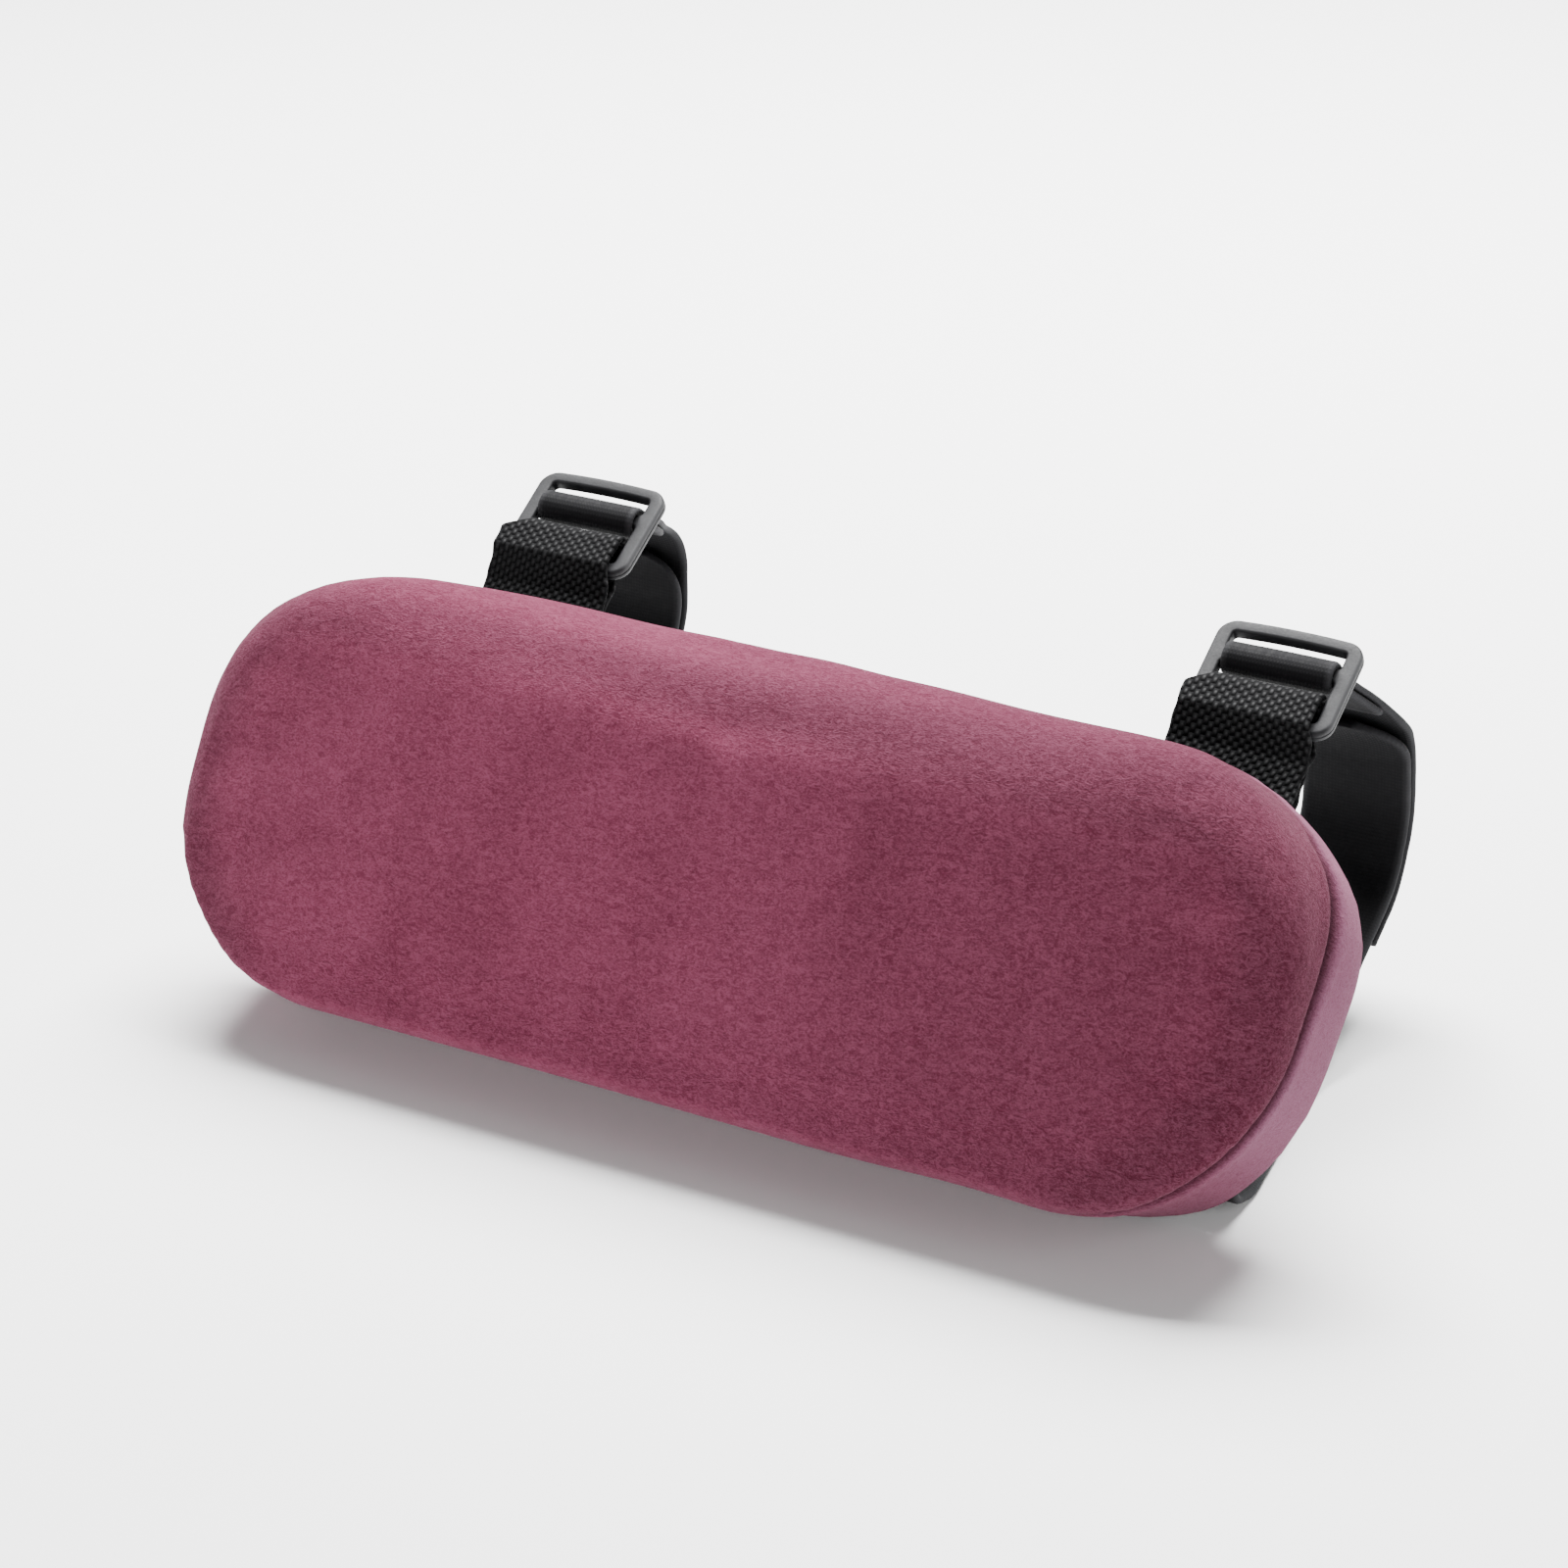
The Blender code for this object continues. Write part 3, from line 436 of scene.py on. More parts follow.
def zip_metal_material():
    """Dark plated metal, scuffed where the pull is handled."""
    n = Nodes("zip_metal")
    scuff = n.noise(n.coordinates((900, 260, 900)), 6.0, 0.7, 0.5)
    mark = n.curve(scuff, 0.55, 0.72)
    colour = n.mix(mark, (0.115, 0.115, 0.122), (0.42, 0.41, 0.40))
    return n.finish(
        colour, n.curve(scuff, 0.3, 0.7, 0.26, 0.44), n.bump(scuff, 0.00005, 0.4), Metallic=1.0
    )


MATERIALS = {
    "plush": plush_material(),
    "base": base_material(),
    "webbing": webbing_material(),
    "strap": strap_material(),
    "hook": hook_material(),
    "buckle": buckle_material(),
    "thread": thread_material(),
    "zip_tape": zip_tape_material(),
    "zip_coil": zip_coil_material(),
    "zip_metal": zip_metal_material(),
}


# ---------------------------------------------------------------- shared building

def row_point(x, point):
    """A point of a strap's path, in the frame of the whole part."""
    return PAD_FRAME @ Vector((x, point.x, point.y))


def place(name, mesh, material, body, slot, replaced=(), bend=None):
    """Links a mesh made in the pad's upright frame, and lets it ride on a CAD body unless bend is
    given.

    bend names a second body and two points, which are not used; when it is given, the mesh is baked
    in place and rides on no body.
    """
    mesh.transform(PAD_FRAME)
    obj = bpy.data.objects.new(name, mesh)
    bpy.context.scene.collection.objects.link(obj)
    if material:
        mesh.materials.append(MATERIALS[material])
    mesh.shade_smooth()
    if bend:
        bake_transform(obj)
    else:
        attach(obj, body)
    if replaced:
        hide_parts(*replaced)
    return obj


def mesh_from(name, vertices, faces):
    mesh = bpy.data.meshes.new(name)
    mesh.from_pydata([tuple(v) for v in vertices], [], faces)
    mesh.update()
    return mesh


def add_values(mesh, name, values):
    layer = mesh.attributes.new(name, "FLOAT", "POINT")
    layer.data.foreach_set("value", np.asarray(values, np.float32))


def smoothstep(value, low=0.0, high=1.0):
    share = np.clip((np.asarray(value, float) - low) / (high - low), 0, 1)
    return share * share * (3 - 2 * share)


def read_points(mesh):
    points = np.zeros(len(mesh.vertices) * 3, np.float32)
    mesh.vertices.foreach_get("co", points)
    return points.reshape(-1, 3).astype(float)


def read_normals(mesh):
    normals = np.zeros(len(mesh.vertices) * 3, np.float32)
    mesh.vertices.foreach_get("normal", normals)
    return normals.reshape(-1, 3).astype(float)


def write_points(mesh, points):
    mesh.vertices.foreach_set("co", points.astype(np.float32).ravel())
    mesh.update()


def finished_mesh(obj):
    """The object's mesh with its modifiers applied."""
    depsgraph = bpy.context.evaluated_depsgraph_get()
    return bpy.data.meshes.new_from_object(obj.evaluated_get(depsgraph))


# ---------------------------------------------------------------- cushion

def wall_share(z):
    """How far the face rolls over: 0 at the lower edge of the pad and 1 at its upper one."""
    return np.clip(np.asarray(z, float) / PAD_WIDTH + 0.5, 0, 1) ** 1.5


def pad_shell(inset):
    """The closed outer shape of the pad, drawn in by an inset except at its base."""
    rings = []
    radii = (FACE_EDGE_RADIUS_LOW, FACE_EDGE_RADIUS_HIGH)
    for step in range(9):
        angle = math.pi / 2 * step / 8
        rings.append(
            [(r * (1 - math.sin(angle)), inset + r * (1 - math.cos(angle))) for r in radii]
        )
    for step in range(7):
        angle = math.pi / 2 * (6 - step) / 6
        depth = PAD_DEPTH - SHELL_BASE_RADIUS * (1 - math.cos(angle))
        rings.append([(SHELL_BASE_RADIUS * (1 - math.sin(angle)), depth)] * 2)
    vertices = []
    loops = []
    for low, high in rings:
        loop = []
        for sign_x, sign_z, start in ((1, 1, 0), (-1, 1, 90), (-1, -1, 180), (1, -1, 270)):
            for degrees in range(start, start + 91, 5):
                angle = math.radians(degrees)
                arm = Vector((math.cos(angle), math.sin(angle)))
                share = float(wall_share(sign_z * CORNER_Z + arm.y * CORNER_RADIUS))
                ring_inset = low[0] + (high[0] - low[0]) * share + inset
                reach = CORNER_RADIUS - ring_inset
                depth = low[1] + (high[1] - low[1]) * share
                loop.append(len(vertices))
                x = sign_x * CORNER_X + arm.x * reach
                vertices.append((x, depth, sign_z * CORNER_Z + arm.y * reach))
        loops.append(loop)
    faces = [loops[0][::-1], loops[-1]]
    for first, second in zip(loops, loops[1:]):
        for i in range(len(first)):
            j = (i + 1) % len(first)
            faces.append((first[i], first[j], second[j], second[i]))
    return mesh_from("cushion", vertices, faces)


def inflate(obj, pinned):
    """Where the points go when the foam inside presses on its cover."""
    group = obj.vertex_groups.new(name="pinned")
    group.add(pinned, 1.0, "REPLACE")
    cloth = obj.modifiers.new("cloth", "CLOTH")
    cloth.settings.quality = 6
    cloth.settings.mass = 0.3
    cloth.settings.tension_stiffness = 20
    cloth.settings.compression_stiffness = 20
    cloth.settings.shear_stiffness = 8
    cloth.settings.bending_stiffness = 2.0
    cloth.settings.air_damping = 2.0
    cloth.settings.use_pressure = True
    cloth.settings.uniform_pressure_force = CLOTH_PRESSURE
    cloth.settings.vertex_group_mass = "pinned"
    cloth.settings.effector_weights.gravity = 0
    cloth.collision_settings.use_self_collision = False
    cloth.point_cache.frame_start = 1
    cloth.point_cache.frame_end = CLOTH_FRAMES
    scene = bpy.context.scene
    for number in range(1, CLOTH_FRAMES + 1):
        scene.frame_set(number)
    swollen = read_points(finished_mesh(obj))
    obj.modifiers.clear()
    obj.vertex_groups.clear()
    scene.frame_set(1)
    return swollen


def limited(rest, moved, cap):
    """Moves each point towards where the cloth took it, by no more than a cap."""
    step = moved - rest
    length = np.linalg.norm(step, axis=1)
    share = cap * np.tanh(length / cap) / np.maximum(length, 1e-9)
    return rest + step * share[:, None]


def seam_depth(z):
    """How deep behind the face the seam between face and side band lies at each height."""
    return FACE_SEAM_DEPTH_LOW + (FACE_SEAM_DEPTH_HIGH - FACE_SEAM_DEPTH_LOW) * wall_share(z)


def outline_distance(points):
    """How far inside the pad's outline each point lies, seen from the face."""
    across = np.maximum(np.abs(points[:, 0]) - CORNER_X, 0)
    up = np.maximum(np.abs(points[:, 2]) - CORNER_Z, 0)
    return CORNER_RADIUS - np.hypot(across, up)


def build_cushion():
    """The plush cover over its foam, with the seams that join face, side band and base."""
    shell = bpy.data.objects.new("cushion_shell", pad_shell(SHELL_INSET))
    bpy.context.scene.collection.objects.link(shell)
    remesh = shell.modifiers.new("remesh", "REMESH")
    remesh.mode = "VOXEL"
    remesh.voxel_size = VOXEL_SIZE
    mesh = finished_mesh(shell)
    bpy.data.objects.remove(shell)
    obj = bpy.data.objects.new("cushion_cloth", mesh)
    bpy.context.scene.collection.objects.link(obj)
    rest = read_points(mesh)
    pinned = [i for i, p in enumerate(rest) if p[1] > PAD_DEPTH - PINNED_DEPTH]
    swollen = limited(rest, inflate(obj, pinned), SWELL_CAP)
    held = smoothstep(rest[:, 2], -0.030, -0.044)[:, None]
    write_points(mesh, swollen + (rest - swollen) * held)
    subdivision = obj.modifiers.new("subdivision", "SUBSURF")
    subdivision.levels = 2
    mesh = finished_mesh(obj)
    bpy.data.objects.remove(obj)
    mesh.name = "plush_cushion"

    points = read_points(mesh)
    normals = read_normals(mesh)
    heights = np.linspace(-PAD_WIDTH / 2, PAD_WIDTH / 2, 400)
    slope = np.gradient(seam_depth(heights), PAD_WIDTH / 399)
    steep = np.interp(points[:, 2], heights, slope)
    along_end = np.clip(np.abs(points[:, 0]) / (PAD_LENGTH / 2), 0, 1) ** 2
    outer = smoothstep(outline_distance(points), 0.012, 0.004)
    face_seam = (points[:, 1] - seam_depth(points[:, 2])) / np.hypot(1, steep * along_end)
    base_seam = points[:, 1] - CLOTH_SEAM_DEPTH
    wander = 0.00035 * np.sin(points[:, 0] * 95 + 1.3) + 0.00025 * np.sin(points[:, 2] * 210)
    face_seam += wander
    under = smoothstep(points[:, 2], -0.018, -0.040)
    middle = smoothstep(np.abs(points[:, 0]), 0.104, 0.088)
    strong = smoothstep(points[:, 2], 0.042, 0.024) * (1 - under * middle)
    groove = np.exp(-(face_seam / GROOVE_WIDTH) ** 2) * outer * strong
    puff = np.exp(-((np.abs(face_seam) - 0.0030) / 0.0018) ** 2) * outer * strong
    hem = np.exp(-(base_seam / HEM_WIDTH) ** 2) * outer
    sunk = groove * GROOVE_DEPTH + hem * HEM_DEPTH - puff * PUFF_HEIGHT
    points -= normals * sunk[:, None]
    roll = smoothstep(points[:, 2], 0.030, 0.045) * smoothstep(points[:, 1], 0.030, 0.020)
    ripple = np.sin(points[:, 0] * 170 + 2 * np.sin(points[:, 0] * 41)) * 0.5
    ripple += np.sin(points[:, 0] * 77 + 0.7)
    points += normals * (ripple * roll * RIPPLE_HEIGHT)[:, None]
    draft = smoothstep(points[:, 2], -0.036, -0.046) * smoothstep(points[:, 1], 0.002, 0.024)
    points[:, 2] += draft * DRAFT
    for x, z, reach, shift_x, shift_z, start in STUFFING:
        share = np.exp(-((points[:, 0] - x) ** 2 + (points[:, 2] - z) ** 2) / reach ** 2)
        if start:
            share = share * smoothstep(points[:, 1], start - 0.010, start + 0.008)
        points[:, 0] += share * shift_x
        points[:, 2] += share * shift_z
    face = smoothstep(points[:, 1], 0.008, 0.002)
    dimple = np.sin(points[:, 0] * 33 + 0.5) * np.sin(points[:, 2] * 47 + points[:, 0] * 18)
    points += normals * (dimple * face * DIMPLE_HEIGHT)[:, None]
    write_points(mesh, points)

    wall = smoothstep(face_seam, 0.0005, 0.0022) * outer
    end = smoothstep(np.abs(points[:, 0]), 0.075, 0.120)
    # Painted sheen: the side band lighter, most at the ends and least underneath, and a touch on
    # the rolled upper edge.
    painted_sheen = np.maximum(wall * (0.45 + 0.50 * end) * (1 - 0.75 * under), roll * 0.05)
    # Painted shade: the face darker beside the crease at the ends of the pad, and along its upper
    # band and rolled edge.
    ends = smoothstep(np.abs(points[:, 0]), 0.078, 0.112) * smoothstep(points[:, 2], 0.040, 0.022)
    painted_shade = ends * smoothstep(outline_distance(points), 0.016, 0.003) * (1 - wall)
    add_values(mesh, "painted_sheen", painted_sheen)
    near_face = smoothstep(points[:, 2], 0.024, 0.034) * smoothstep(points[:, 2], 0.046, 0.038)
    painted_shade = painted_shade + roll * 0.10 + near_face * (1 - wall) * 0.80
    add_values(mesh, "painted_shade", painted_shade)
    # Where the painted shade between the ribs goes.
    add_values(mesh, "ribbed", roll * smoothstep(points[:, 0], 0.070, 0.110))
    # Where the seam grooves get their painted shade.
    add_values(mesh, "seam", np.maximum(groove, hem * 0.8))

    mesh.materials.clear()
    mesh.materials.append(MATERIALS["plush"])
    mesh.materials.append(MATERIALS["base"])
    middles = np.zeros(len(mesh.polygons) * 3, np.float32)
    mesh.polygons.foreach_get("center", middles)
    back = middles.reshape(-1, 3)[:, 1] > CLOTH_SEAM_DEPTH + 0.0002
    mesh.polygons.foreach_set("material_index", back.astype(np.int32))
    nodes = ("foam_core", "cover_top_panel", "cover_side_band", "cover_base_panel")
    cushion = place("plush_cushion", mesh, None, "pad", "velvet", nodes)


# ---------------------------------------------------------------- paths in the Y-Z plane

def heading(start, end):
    return (end - start).normalized()


def left_of(direction):
    return Vector((-direction.y, direction.x))


def turned(vector, angle):
    cosine = math.cos(angle)
    sine = math.sin(angle)
    return Vector((vector.x * cosine - vector.y * sine, vector.x * sine + vector.y * cosine))


def rounded_path(corners, radii):
    """A path through the first and last corners that rounds each one between them."""
    path = [corners[0]]
    for i, radius in enumerate(radii, start=1):
        incoming = heading(corners[i - 1], corners[i])
        turn = -incoming.angle_signed(heading(corners[i], corners[i + 1]))
        start = corners[i] - incoming * radius * math.tan(abs(turn) / 2)
        centre = start + left_of(incoming) * math.copysign(radius, turn)
        count = max(4, math.ceil(abs(turn) / math.radians(4)))
        path.extend(centre + turned(start - centre, turn * k / count) for k in range(count + 1))
    path.append(corners[-1])
    return path


def wrap(centre, radius, start_direction, sweep):
    arm = start_direction.normalized() * radius
    return [centre + turned(arm, sweep * i / 24) for i in range(25)]


def path_length(path):
    return sum((b - a).length for a, b in zip(path, path[1:]))


def face_outward(mesh):
    """Turns every face of a closed mesh outward."""
    bm = bmesh.new()
    bm.from_mesh(mesh)
    bmesh.ops.recalc_face_normals(bm, faces=bm.faces)
    bm.to_mesh(mesh)
    bm.free()


def close_tube(faces, first, rings, sides=6):
    """Faces round a tube of rings of vertices, and a cap at each end."""
    for k in range(rings - 1):
        for m in range(sides):
            a = first + k * sides + m
            b = first + k * sides + (m + 1) % sides
            faces.append((a, b, b + sides, a + sides))
    faces.append([first + m for m in range(sides)][::-1])
    faces.append([first + (rings - 1) * sides + m for m in range(sides)])


def point_at(path, distance):
    """The point of a path at a distance along it."""
    for a, b in zip(path, path[1:]):
        step = (b - a).length
        if distance <= step:
            return a.lerp(b, max(0.0, distance) / max(step, 1e-9))
        distance -= step
    return path[-1].copy()


def stretch(path, start, end, step):
    """Evenly spaced points of a path between two distances along it."""
    count = max(3, round((end - start) / step))
    return [point_at(path, start + (end - start) * i / count) for i in range(count + 1)]


def path_normals(path):
    normals = []
    for i in range(len(path)):
        normals.append(left_of(heading(path[max(i - 1, 0)], path[min(i + 1, len(path) - 1)])))
    return normals


def offset_path(path, distance):
    return [point + normal * distance for point, normal in zip(path, path_normals(path))]


def mark_at(path, height):
    """The distance along a path at which it first climbs through a height."""
    travelled = 0.0
    for a, b in zip(path, path[1:]):
        step = (b - a).length
        if a.y < height <= b.y:
            return travelled + step * (height - a.y) / (b.y - a.y)
        travelled += step
    return travelled


def ground_point(depth):
    """Where the middle of a strap lies when it rests on the ground at this depth."""
    lowest = Vector((PAD_DEPTH - BASE_EDGE_RADIUS, BASE_EDGE_RADIUS - PAD_WIDTH / 2))
    down = Vector((math.sin(LEAN), -math.cos(LEAN)))
    level = (lowest + down * (BASE_EDGE_RADIUS - GROUND_CLEARANCE - STRAP_THICKNESS / 2)).dot(down)
    return Vector((depth, (depth * down.x - level) / -down.y))


def buckle_up():
    return Vector((math.sin(BUCKLE_LEAN), math.cos(BUCKLE_LEAN)))


def buckle_pivot(side):
    return Vector(LOOPS[side]["buckle"])


def middle_bar(side):
    return buckle_pivot(side) + buckle_up() * MIDDLE_BAR_HEIGHT


# ---------------------------------------------------------------- straps and webbings

def ribbon(name, path, thickness, left, right, shifts, columns, waver=0.0, seed=0):
    """A strap along a path, as a fine grid with rounded edges.

    left and right are its half widths at each point. The map of its faces holds the distances
    across and along the strap in millimetres.
    """
    rng = random.Random(seed)
    phases = [rng.uniform(0, 6.28) for _ in range(4)]
    half = thickness / 2
    profile = [(t, half, 0.0) for t in np.linspace(-1, 1, columns)]
    for k in range(1, 4):
        angle = math.pi * k / 4
        profile.append((1, half * math.cos(angle), half * math.sin(angle)))
    profile += [(t, -half, 0.0) for t in np.linspace(1, -1, columns)]
    for k in range(1, 4):
        angle = math.pi * k / 4
        profile.append((-1, -half * math.cos(angle), -half * math.sin(angle)))
    vertices = []
    coordinates = []
    edges = []
    travelled = 0.0
    normals = path_normals(path)
    for i, (point, normal) in enumerate(zip(path, normals)):
        if i:
            travelled += (point - path[i - 1]).length
        fray = 1 + waver * (
            math.sin(travelled * 420 + phases[0]) + 0.6 * math.sin(travelled * 1130 + phases[1])
        )
        lift = waver * 0.02 * math.sin(travelled * 160 + phases[2])
        for t, height, out in profile:
            reach = (right[i] if t > 0 else left[i]) - half
            u = t * reach * (fray if abs(t) > 0.98 else 1) + out
            bend = lift * math.cos(t * 3 + phases[3])
            place_at = point + normal * (height + bend)
            vertices.append((shifts[i] + u, place_at.x, place_at.y))
            coordinates.append((u * 1000, travelled * 1000))
            edge = min(left[i], right[i])
            edges.append(smoothstep(abs(u), edge - 0.0014, edge - 0.0004))
    ring = len(profile)
    faces = []
    for i in range(len(path) - 1):
        for k in range(ring):
            m = (k + 1) % ring
            faces.append((i * ring + k, (i + 1) * ring + k, (i + 1) * ring + m, i * ring + m))
    last = (len(path) - 1) * ring
    for k in range(ring // 2 - 1):
        a, b = k, k + 1
        c, d = ring - 2 - k, ring - 1 - k
        if b >= c:
            break
        faces.append((a, b, c, d))
        faces.append((last + d, last + c, last + b, last + a))
    mesh = mesh_from(name, vertices, faces)
    face_outward(mesh)
    # Where the strap material paints a highlight along the edges.
    add_values(mesh, "edge_highlight", edges)
    layer = mesh.uv_layers.new(name="strap_map")
    corners = np.zeros(len(mesh.loops), np.int32)
    mesh.loops.foreach_get("vertex_index", corners)
    layer.data.foreach_set("uv", np.array(coordinates, np.float32)[corners].ravel())
    return mesh


def build_webbing(side, x):
    """A doubled tail sewn to the base, and the fold over the lowest bar of the buckle."""
    pivot = buckle_pivot(side)
    up = buckle_up()
    ahead = left_of(up)
    doubled = 2 * WEBBING_THICKNESS + GAP
    near = PAD_DEPTH + GAP + doubled / 2
    foot = Vector((near, WEBBING_TAIL_LOW))
    corners = [foot, Vector((near, WEBBING_TAIL_HIGH)), WEBBING_KNEE, pivot]
    centre = rounded_path(corners, (0.010, 0.010))
    join = path_length(centre) - WEBBING_JOIN_DROP
    wide = WEBBING_WIDTH / 2
    tail = stretch(centre, 0.0, join, WEBBING_STEP)
    front_tail = offset_path(tail, (doubled - WEBBING_THICKNESS) / 2)
    rear_tail = offset_path(tail, (WEBBING_THICKNESS - doubled) / 2)[::-1]
    radius = FOLD_RADIUS + WEBBING_THICKNESS / 2
    fold = wrap(pivot + up * WEBBING_FOLD_HEIGHT, radius, ahead, -math.pi)
    knee = pivot + ahead * radius - up * 0.0005
    back_knee = pivot - ahead * radius - up * 0.0005
    front = (knee - front_tail[-1]).length + (fold[0] - knee).length
    coarse = front_tail + [knee] + fold + [back_knee] + rear_tail
    path = stretch(coarse, 0.0, path_length(coarse), WEBBING_STEP)
    step = path_length(coarse) / (len(path) - 1)
    folded = path_length(coarse) - path_length(front_tail) - path_length(rear_tail)
    slot = BUCKLE_SLOT_WIDTH / 2 - 0.0002
    flush = STRAP_WIDTH / 2
    left = []
    right = []
    shifts = []
    for i in range(len(path)):
        gone = i * step - path_length(front_tail)
        near = float(smoothstep(gone, -WEBBING_EASE, 0.0))
        near *= 1 - float(smoothstep(gone, folded, folded + WEBBING_EASE))
        spread = 1 - float(smoothstep(gone, front - 0.0015, front + 0.0020))
        drop = 1 - float(smoothstep(gone, front - 0.0110, front - 0.0045))
        rear = float(smoothstep(gone, folded - 0.0075, folded - 0.0030))
        narrow = wide - WEBBING_TAIL_SHIFT * near - flush
        broad = wide + WEBBING_FOLD_SPREAD * near - slot
        left.append(slot + max(broad * spread, (wide - slot) * rear))
        right.append(flush + max(narrow * drop, narrow * rear))
        shifts.append(x - WEBBING_TAIL_SHIFT * (1 - near))
    mesh = ribbon(
        f"webbing_{side}", path, WEBBING_THICKNESS, left, right, shifts, 30, 0.012, 5,
    )
    start = row_point(x, point_at(centre, join - 0.0040))
    end = row_point(x, point_at(centre, join + 0.0025))
    nodes = (f"webbing_tail_{side}", f"webbing_loop_{side}")
    place(mesh.name, mesh, "webbing", "pad", "webbing", nodes, (f"{side}_webbing", start, end))
    depth = PAD_DEPTH + GAP + doubled
    middle = (WEBBING_TAIL_LOW + WEBBING_TAIL_HIGH - 0.002) / 2
    build_box_stitch(f"webbing_stitch_{side}", x, depth, middle)


def loop_path(side):
    """The inner strap's centre line, from its sewn tail along the ground and up to the buckle."""
    loop = LOOPS[side]
    depth = PAD_DEPTH + GAP + STRAP_THICKNESS / 2
    corners = [
        Vector((depth, TAIL_TOP)),
        Vector((depth, TAIL_BOTTOM)),
        ground_point(TOUCHDOWN_DEPTH),
        ground_point(loop["lift"]),
    ]
    radii = [TAIL_BEND_RADIUS, TOUCHDOWN_RADIUS, LIFT_RADIUS]
    for y, z, radius in loop["corners"]:
        corners.append(Vector((y, z)))
        radii.append(radius)
    corners.append(middle_bar(side) + Vector((0.0016, -0.0004)))
    return rounded_path(corners, radii)


def splay(path, x):
    """The X of each point of a strap that leans outward, towards its end of the pad."""
    return [
        x + math.copysign(STRAP_SPLAY, x) * float(smoothstep(p.x, SPLAY_START, SPLAY_END))
        for p in path
    ]


def base_splay(path, x):
    placed = []
    for point in path:
        share = min(1.0, max(0.0, (point.x - BASE_SPLAY_END) / (SPLAY_END - BASE_SPLAY_END)))
        placed.append(x + math.copysign(BASE_SPLAY + (STRAP_SPLAY - BASE_SPLAY) * share, x))
    return placed


def build_straps(side, x):
    """The sewn strap with its free tongue, and the strap that folds through the buckle over it."""
    loop = LOOPS[side]
    path = loop_path(side)
    hinge = mark_at(path, loop["hinge_height"])
    tip = mark_at(path, loop["tip_height"])
    wide = STRAP_WIDTH / 2
    whole = stretch(path, 0.0, tip, 0.0008)
    step = tip / (len(whole) - 1)
    widths = []
    shifts = []
    for i, (sewn, free) in enumerate(zip(base_splay(whole, x), splay(whole, x))):
        short = max(0.0, 1 - (tip - i * step) / TONGUE_LENGTH)
        widths.append(wide * math.sqrt(max(1 - short ** 2.6, 0.06)))
        shifts.append(sewn if i * step < hinge else free)
    mesh = ribbon(
        f"strap_inner_{side}", whole, STRAP_THICKNESS, widths, widths, shifts, 24, 0.002, 7,
    )
    start = row_point(x, point_at(path, hinge - STRAP_BLEND))
    end = row_point(x, point_at(path, hinge + STRAP_BLEND))
    nodes = (f"lower_strap_{side}", f"inner_strap_{side}")
    place(mesh.name, mesh, "strap", "pad", "strap", nodes, (f"{side}_inner_strap", start, end))
    build_outer_strap(side, x, path, mark_at(path, loop["outer_end_height"]), tip)
    depth = PAD_DEPTH + GAP + STRAP_THICKNESS
    strap_x = x + math.copysign(BASE_SPLAY, x)
    build_box_stitch(f"strap_stitch_{side}", strap_x, depth, (TAIL_TOP + TAIL_BOTTOM) / 2)


def tangent_to(point, centre, radius):
    """The direction from a centre to where a line from a point touches the top of its circle."""
    to_point = point - centre
    return turned(to_point.normalized(), math.acos(radius / to_point.length))


def build_outer_strap(side, x, path, end, tip):
    bar = middle_bar(side)
    radius = FOLD_RADIUS + OUTER_STRAP_THICKNESS / 2
    spacing = (STRAP_THICKNESS + OUTER_STRAP_THICKNESS) / 2 + HOOK_THICKNESS + 2 * GAP
    run = offset_path(stretch(path, end, path_length(path), 0.0010), -spacing)
    run = [point for point in run if point.x > bar.x + 0.004]
    fold = wrap(bar, radius, tangent_to(run[-1], bar, radius), math.pi)
    layer = OUTER_STRAP_THICKNESS + GAP
    inside = offset_path(run + [fold[0]], layer)[::-1]
    sewn = stretch(inside, 0.009, 0.021, 0.0010)
    coarse = run + fold + sewn
    strap_path = stretch(coarse, 0.0, path_length(coarse), 0.0008)
    widths = [STRAP_WIDTH / 2] * len(strap_path)
    mesh = ribbon(
        f"strap_outer_{side}", strap_path, OUTER_STRAP_THICKNESS, widths, widths,
        splay(strap_path, x), 24, 0.002, 11,
    )
    body = f"{side}_outer_strap"
    place(mesh.name, mesh, "strap", body, "strap", (f"outer_strap_{side}",))
    inward = OUTER_STRAP_THICKNESS / 2 + GAP + HOOK_THICKNESS / 2
    patch = stretch(offset_path(run, inward), 0.002, tip - end - 0.008, 0.0010)
    widths = [STRAP_WIDTH / 2 - 0.001] * len(patch)
    mesh = ribbon(
        f"hook_tape_{side}", patch, HOOK_THICKNESS, widths, widths, splay(patch, x), 24,
    )
    place(mesh.name, mesh, "hook", body, "hook_tape", (f"hook_patch_{side}",))


# ---------------------------------------------------------------- thread

def stitch_run(vertices, faces, start, end, out, length=0.0023, gap=0.0007, radius=0.00030):
    """Short round stitches in a row between two points; out is the way the cloth faces."""
    run = end - start
    count = max(1, round(run.length / (length + gap)))
    pace = run.length / count
    along = run.normalized()
    across = along.cross(out).normalized()
    for i in range(count):
        base = start + along * pace * (i + 0.5)
        first = len(vertices)
        for k in range(7):
            share = k / 6 * 2 - 1
            thick = radius * math.sqrt(max(0.04, 1 - share ** 4))
            middle = base + along * share * (pace - gap) / 2 - out * 0.0002 * share ** 4
            for m in range(6):
                angle = math.pi * 2 * m / 6
                arm = across * math.cos(angle) + out * math.sin(angle)
                vertices.append(middle + arm * thick)
        close_tube(faces, first, 7)


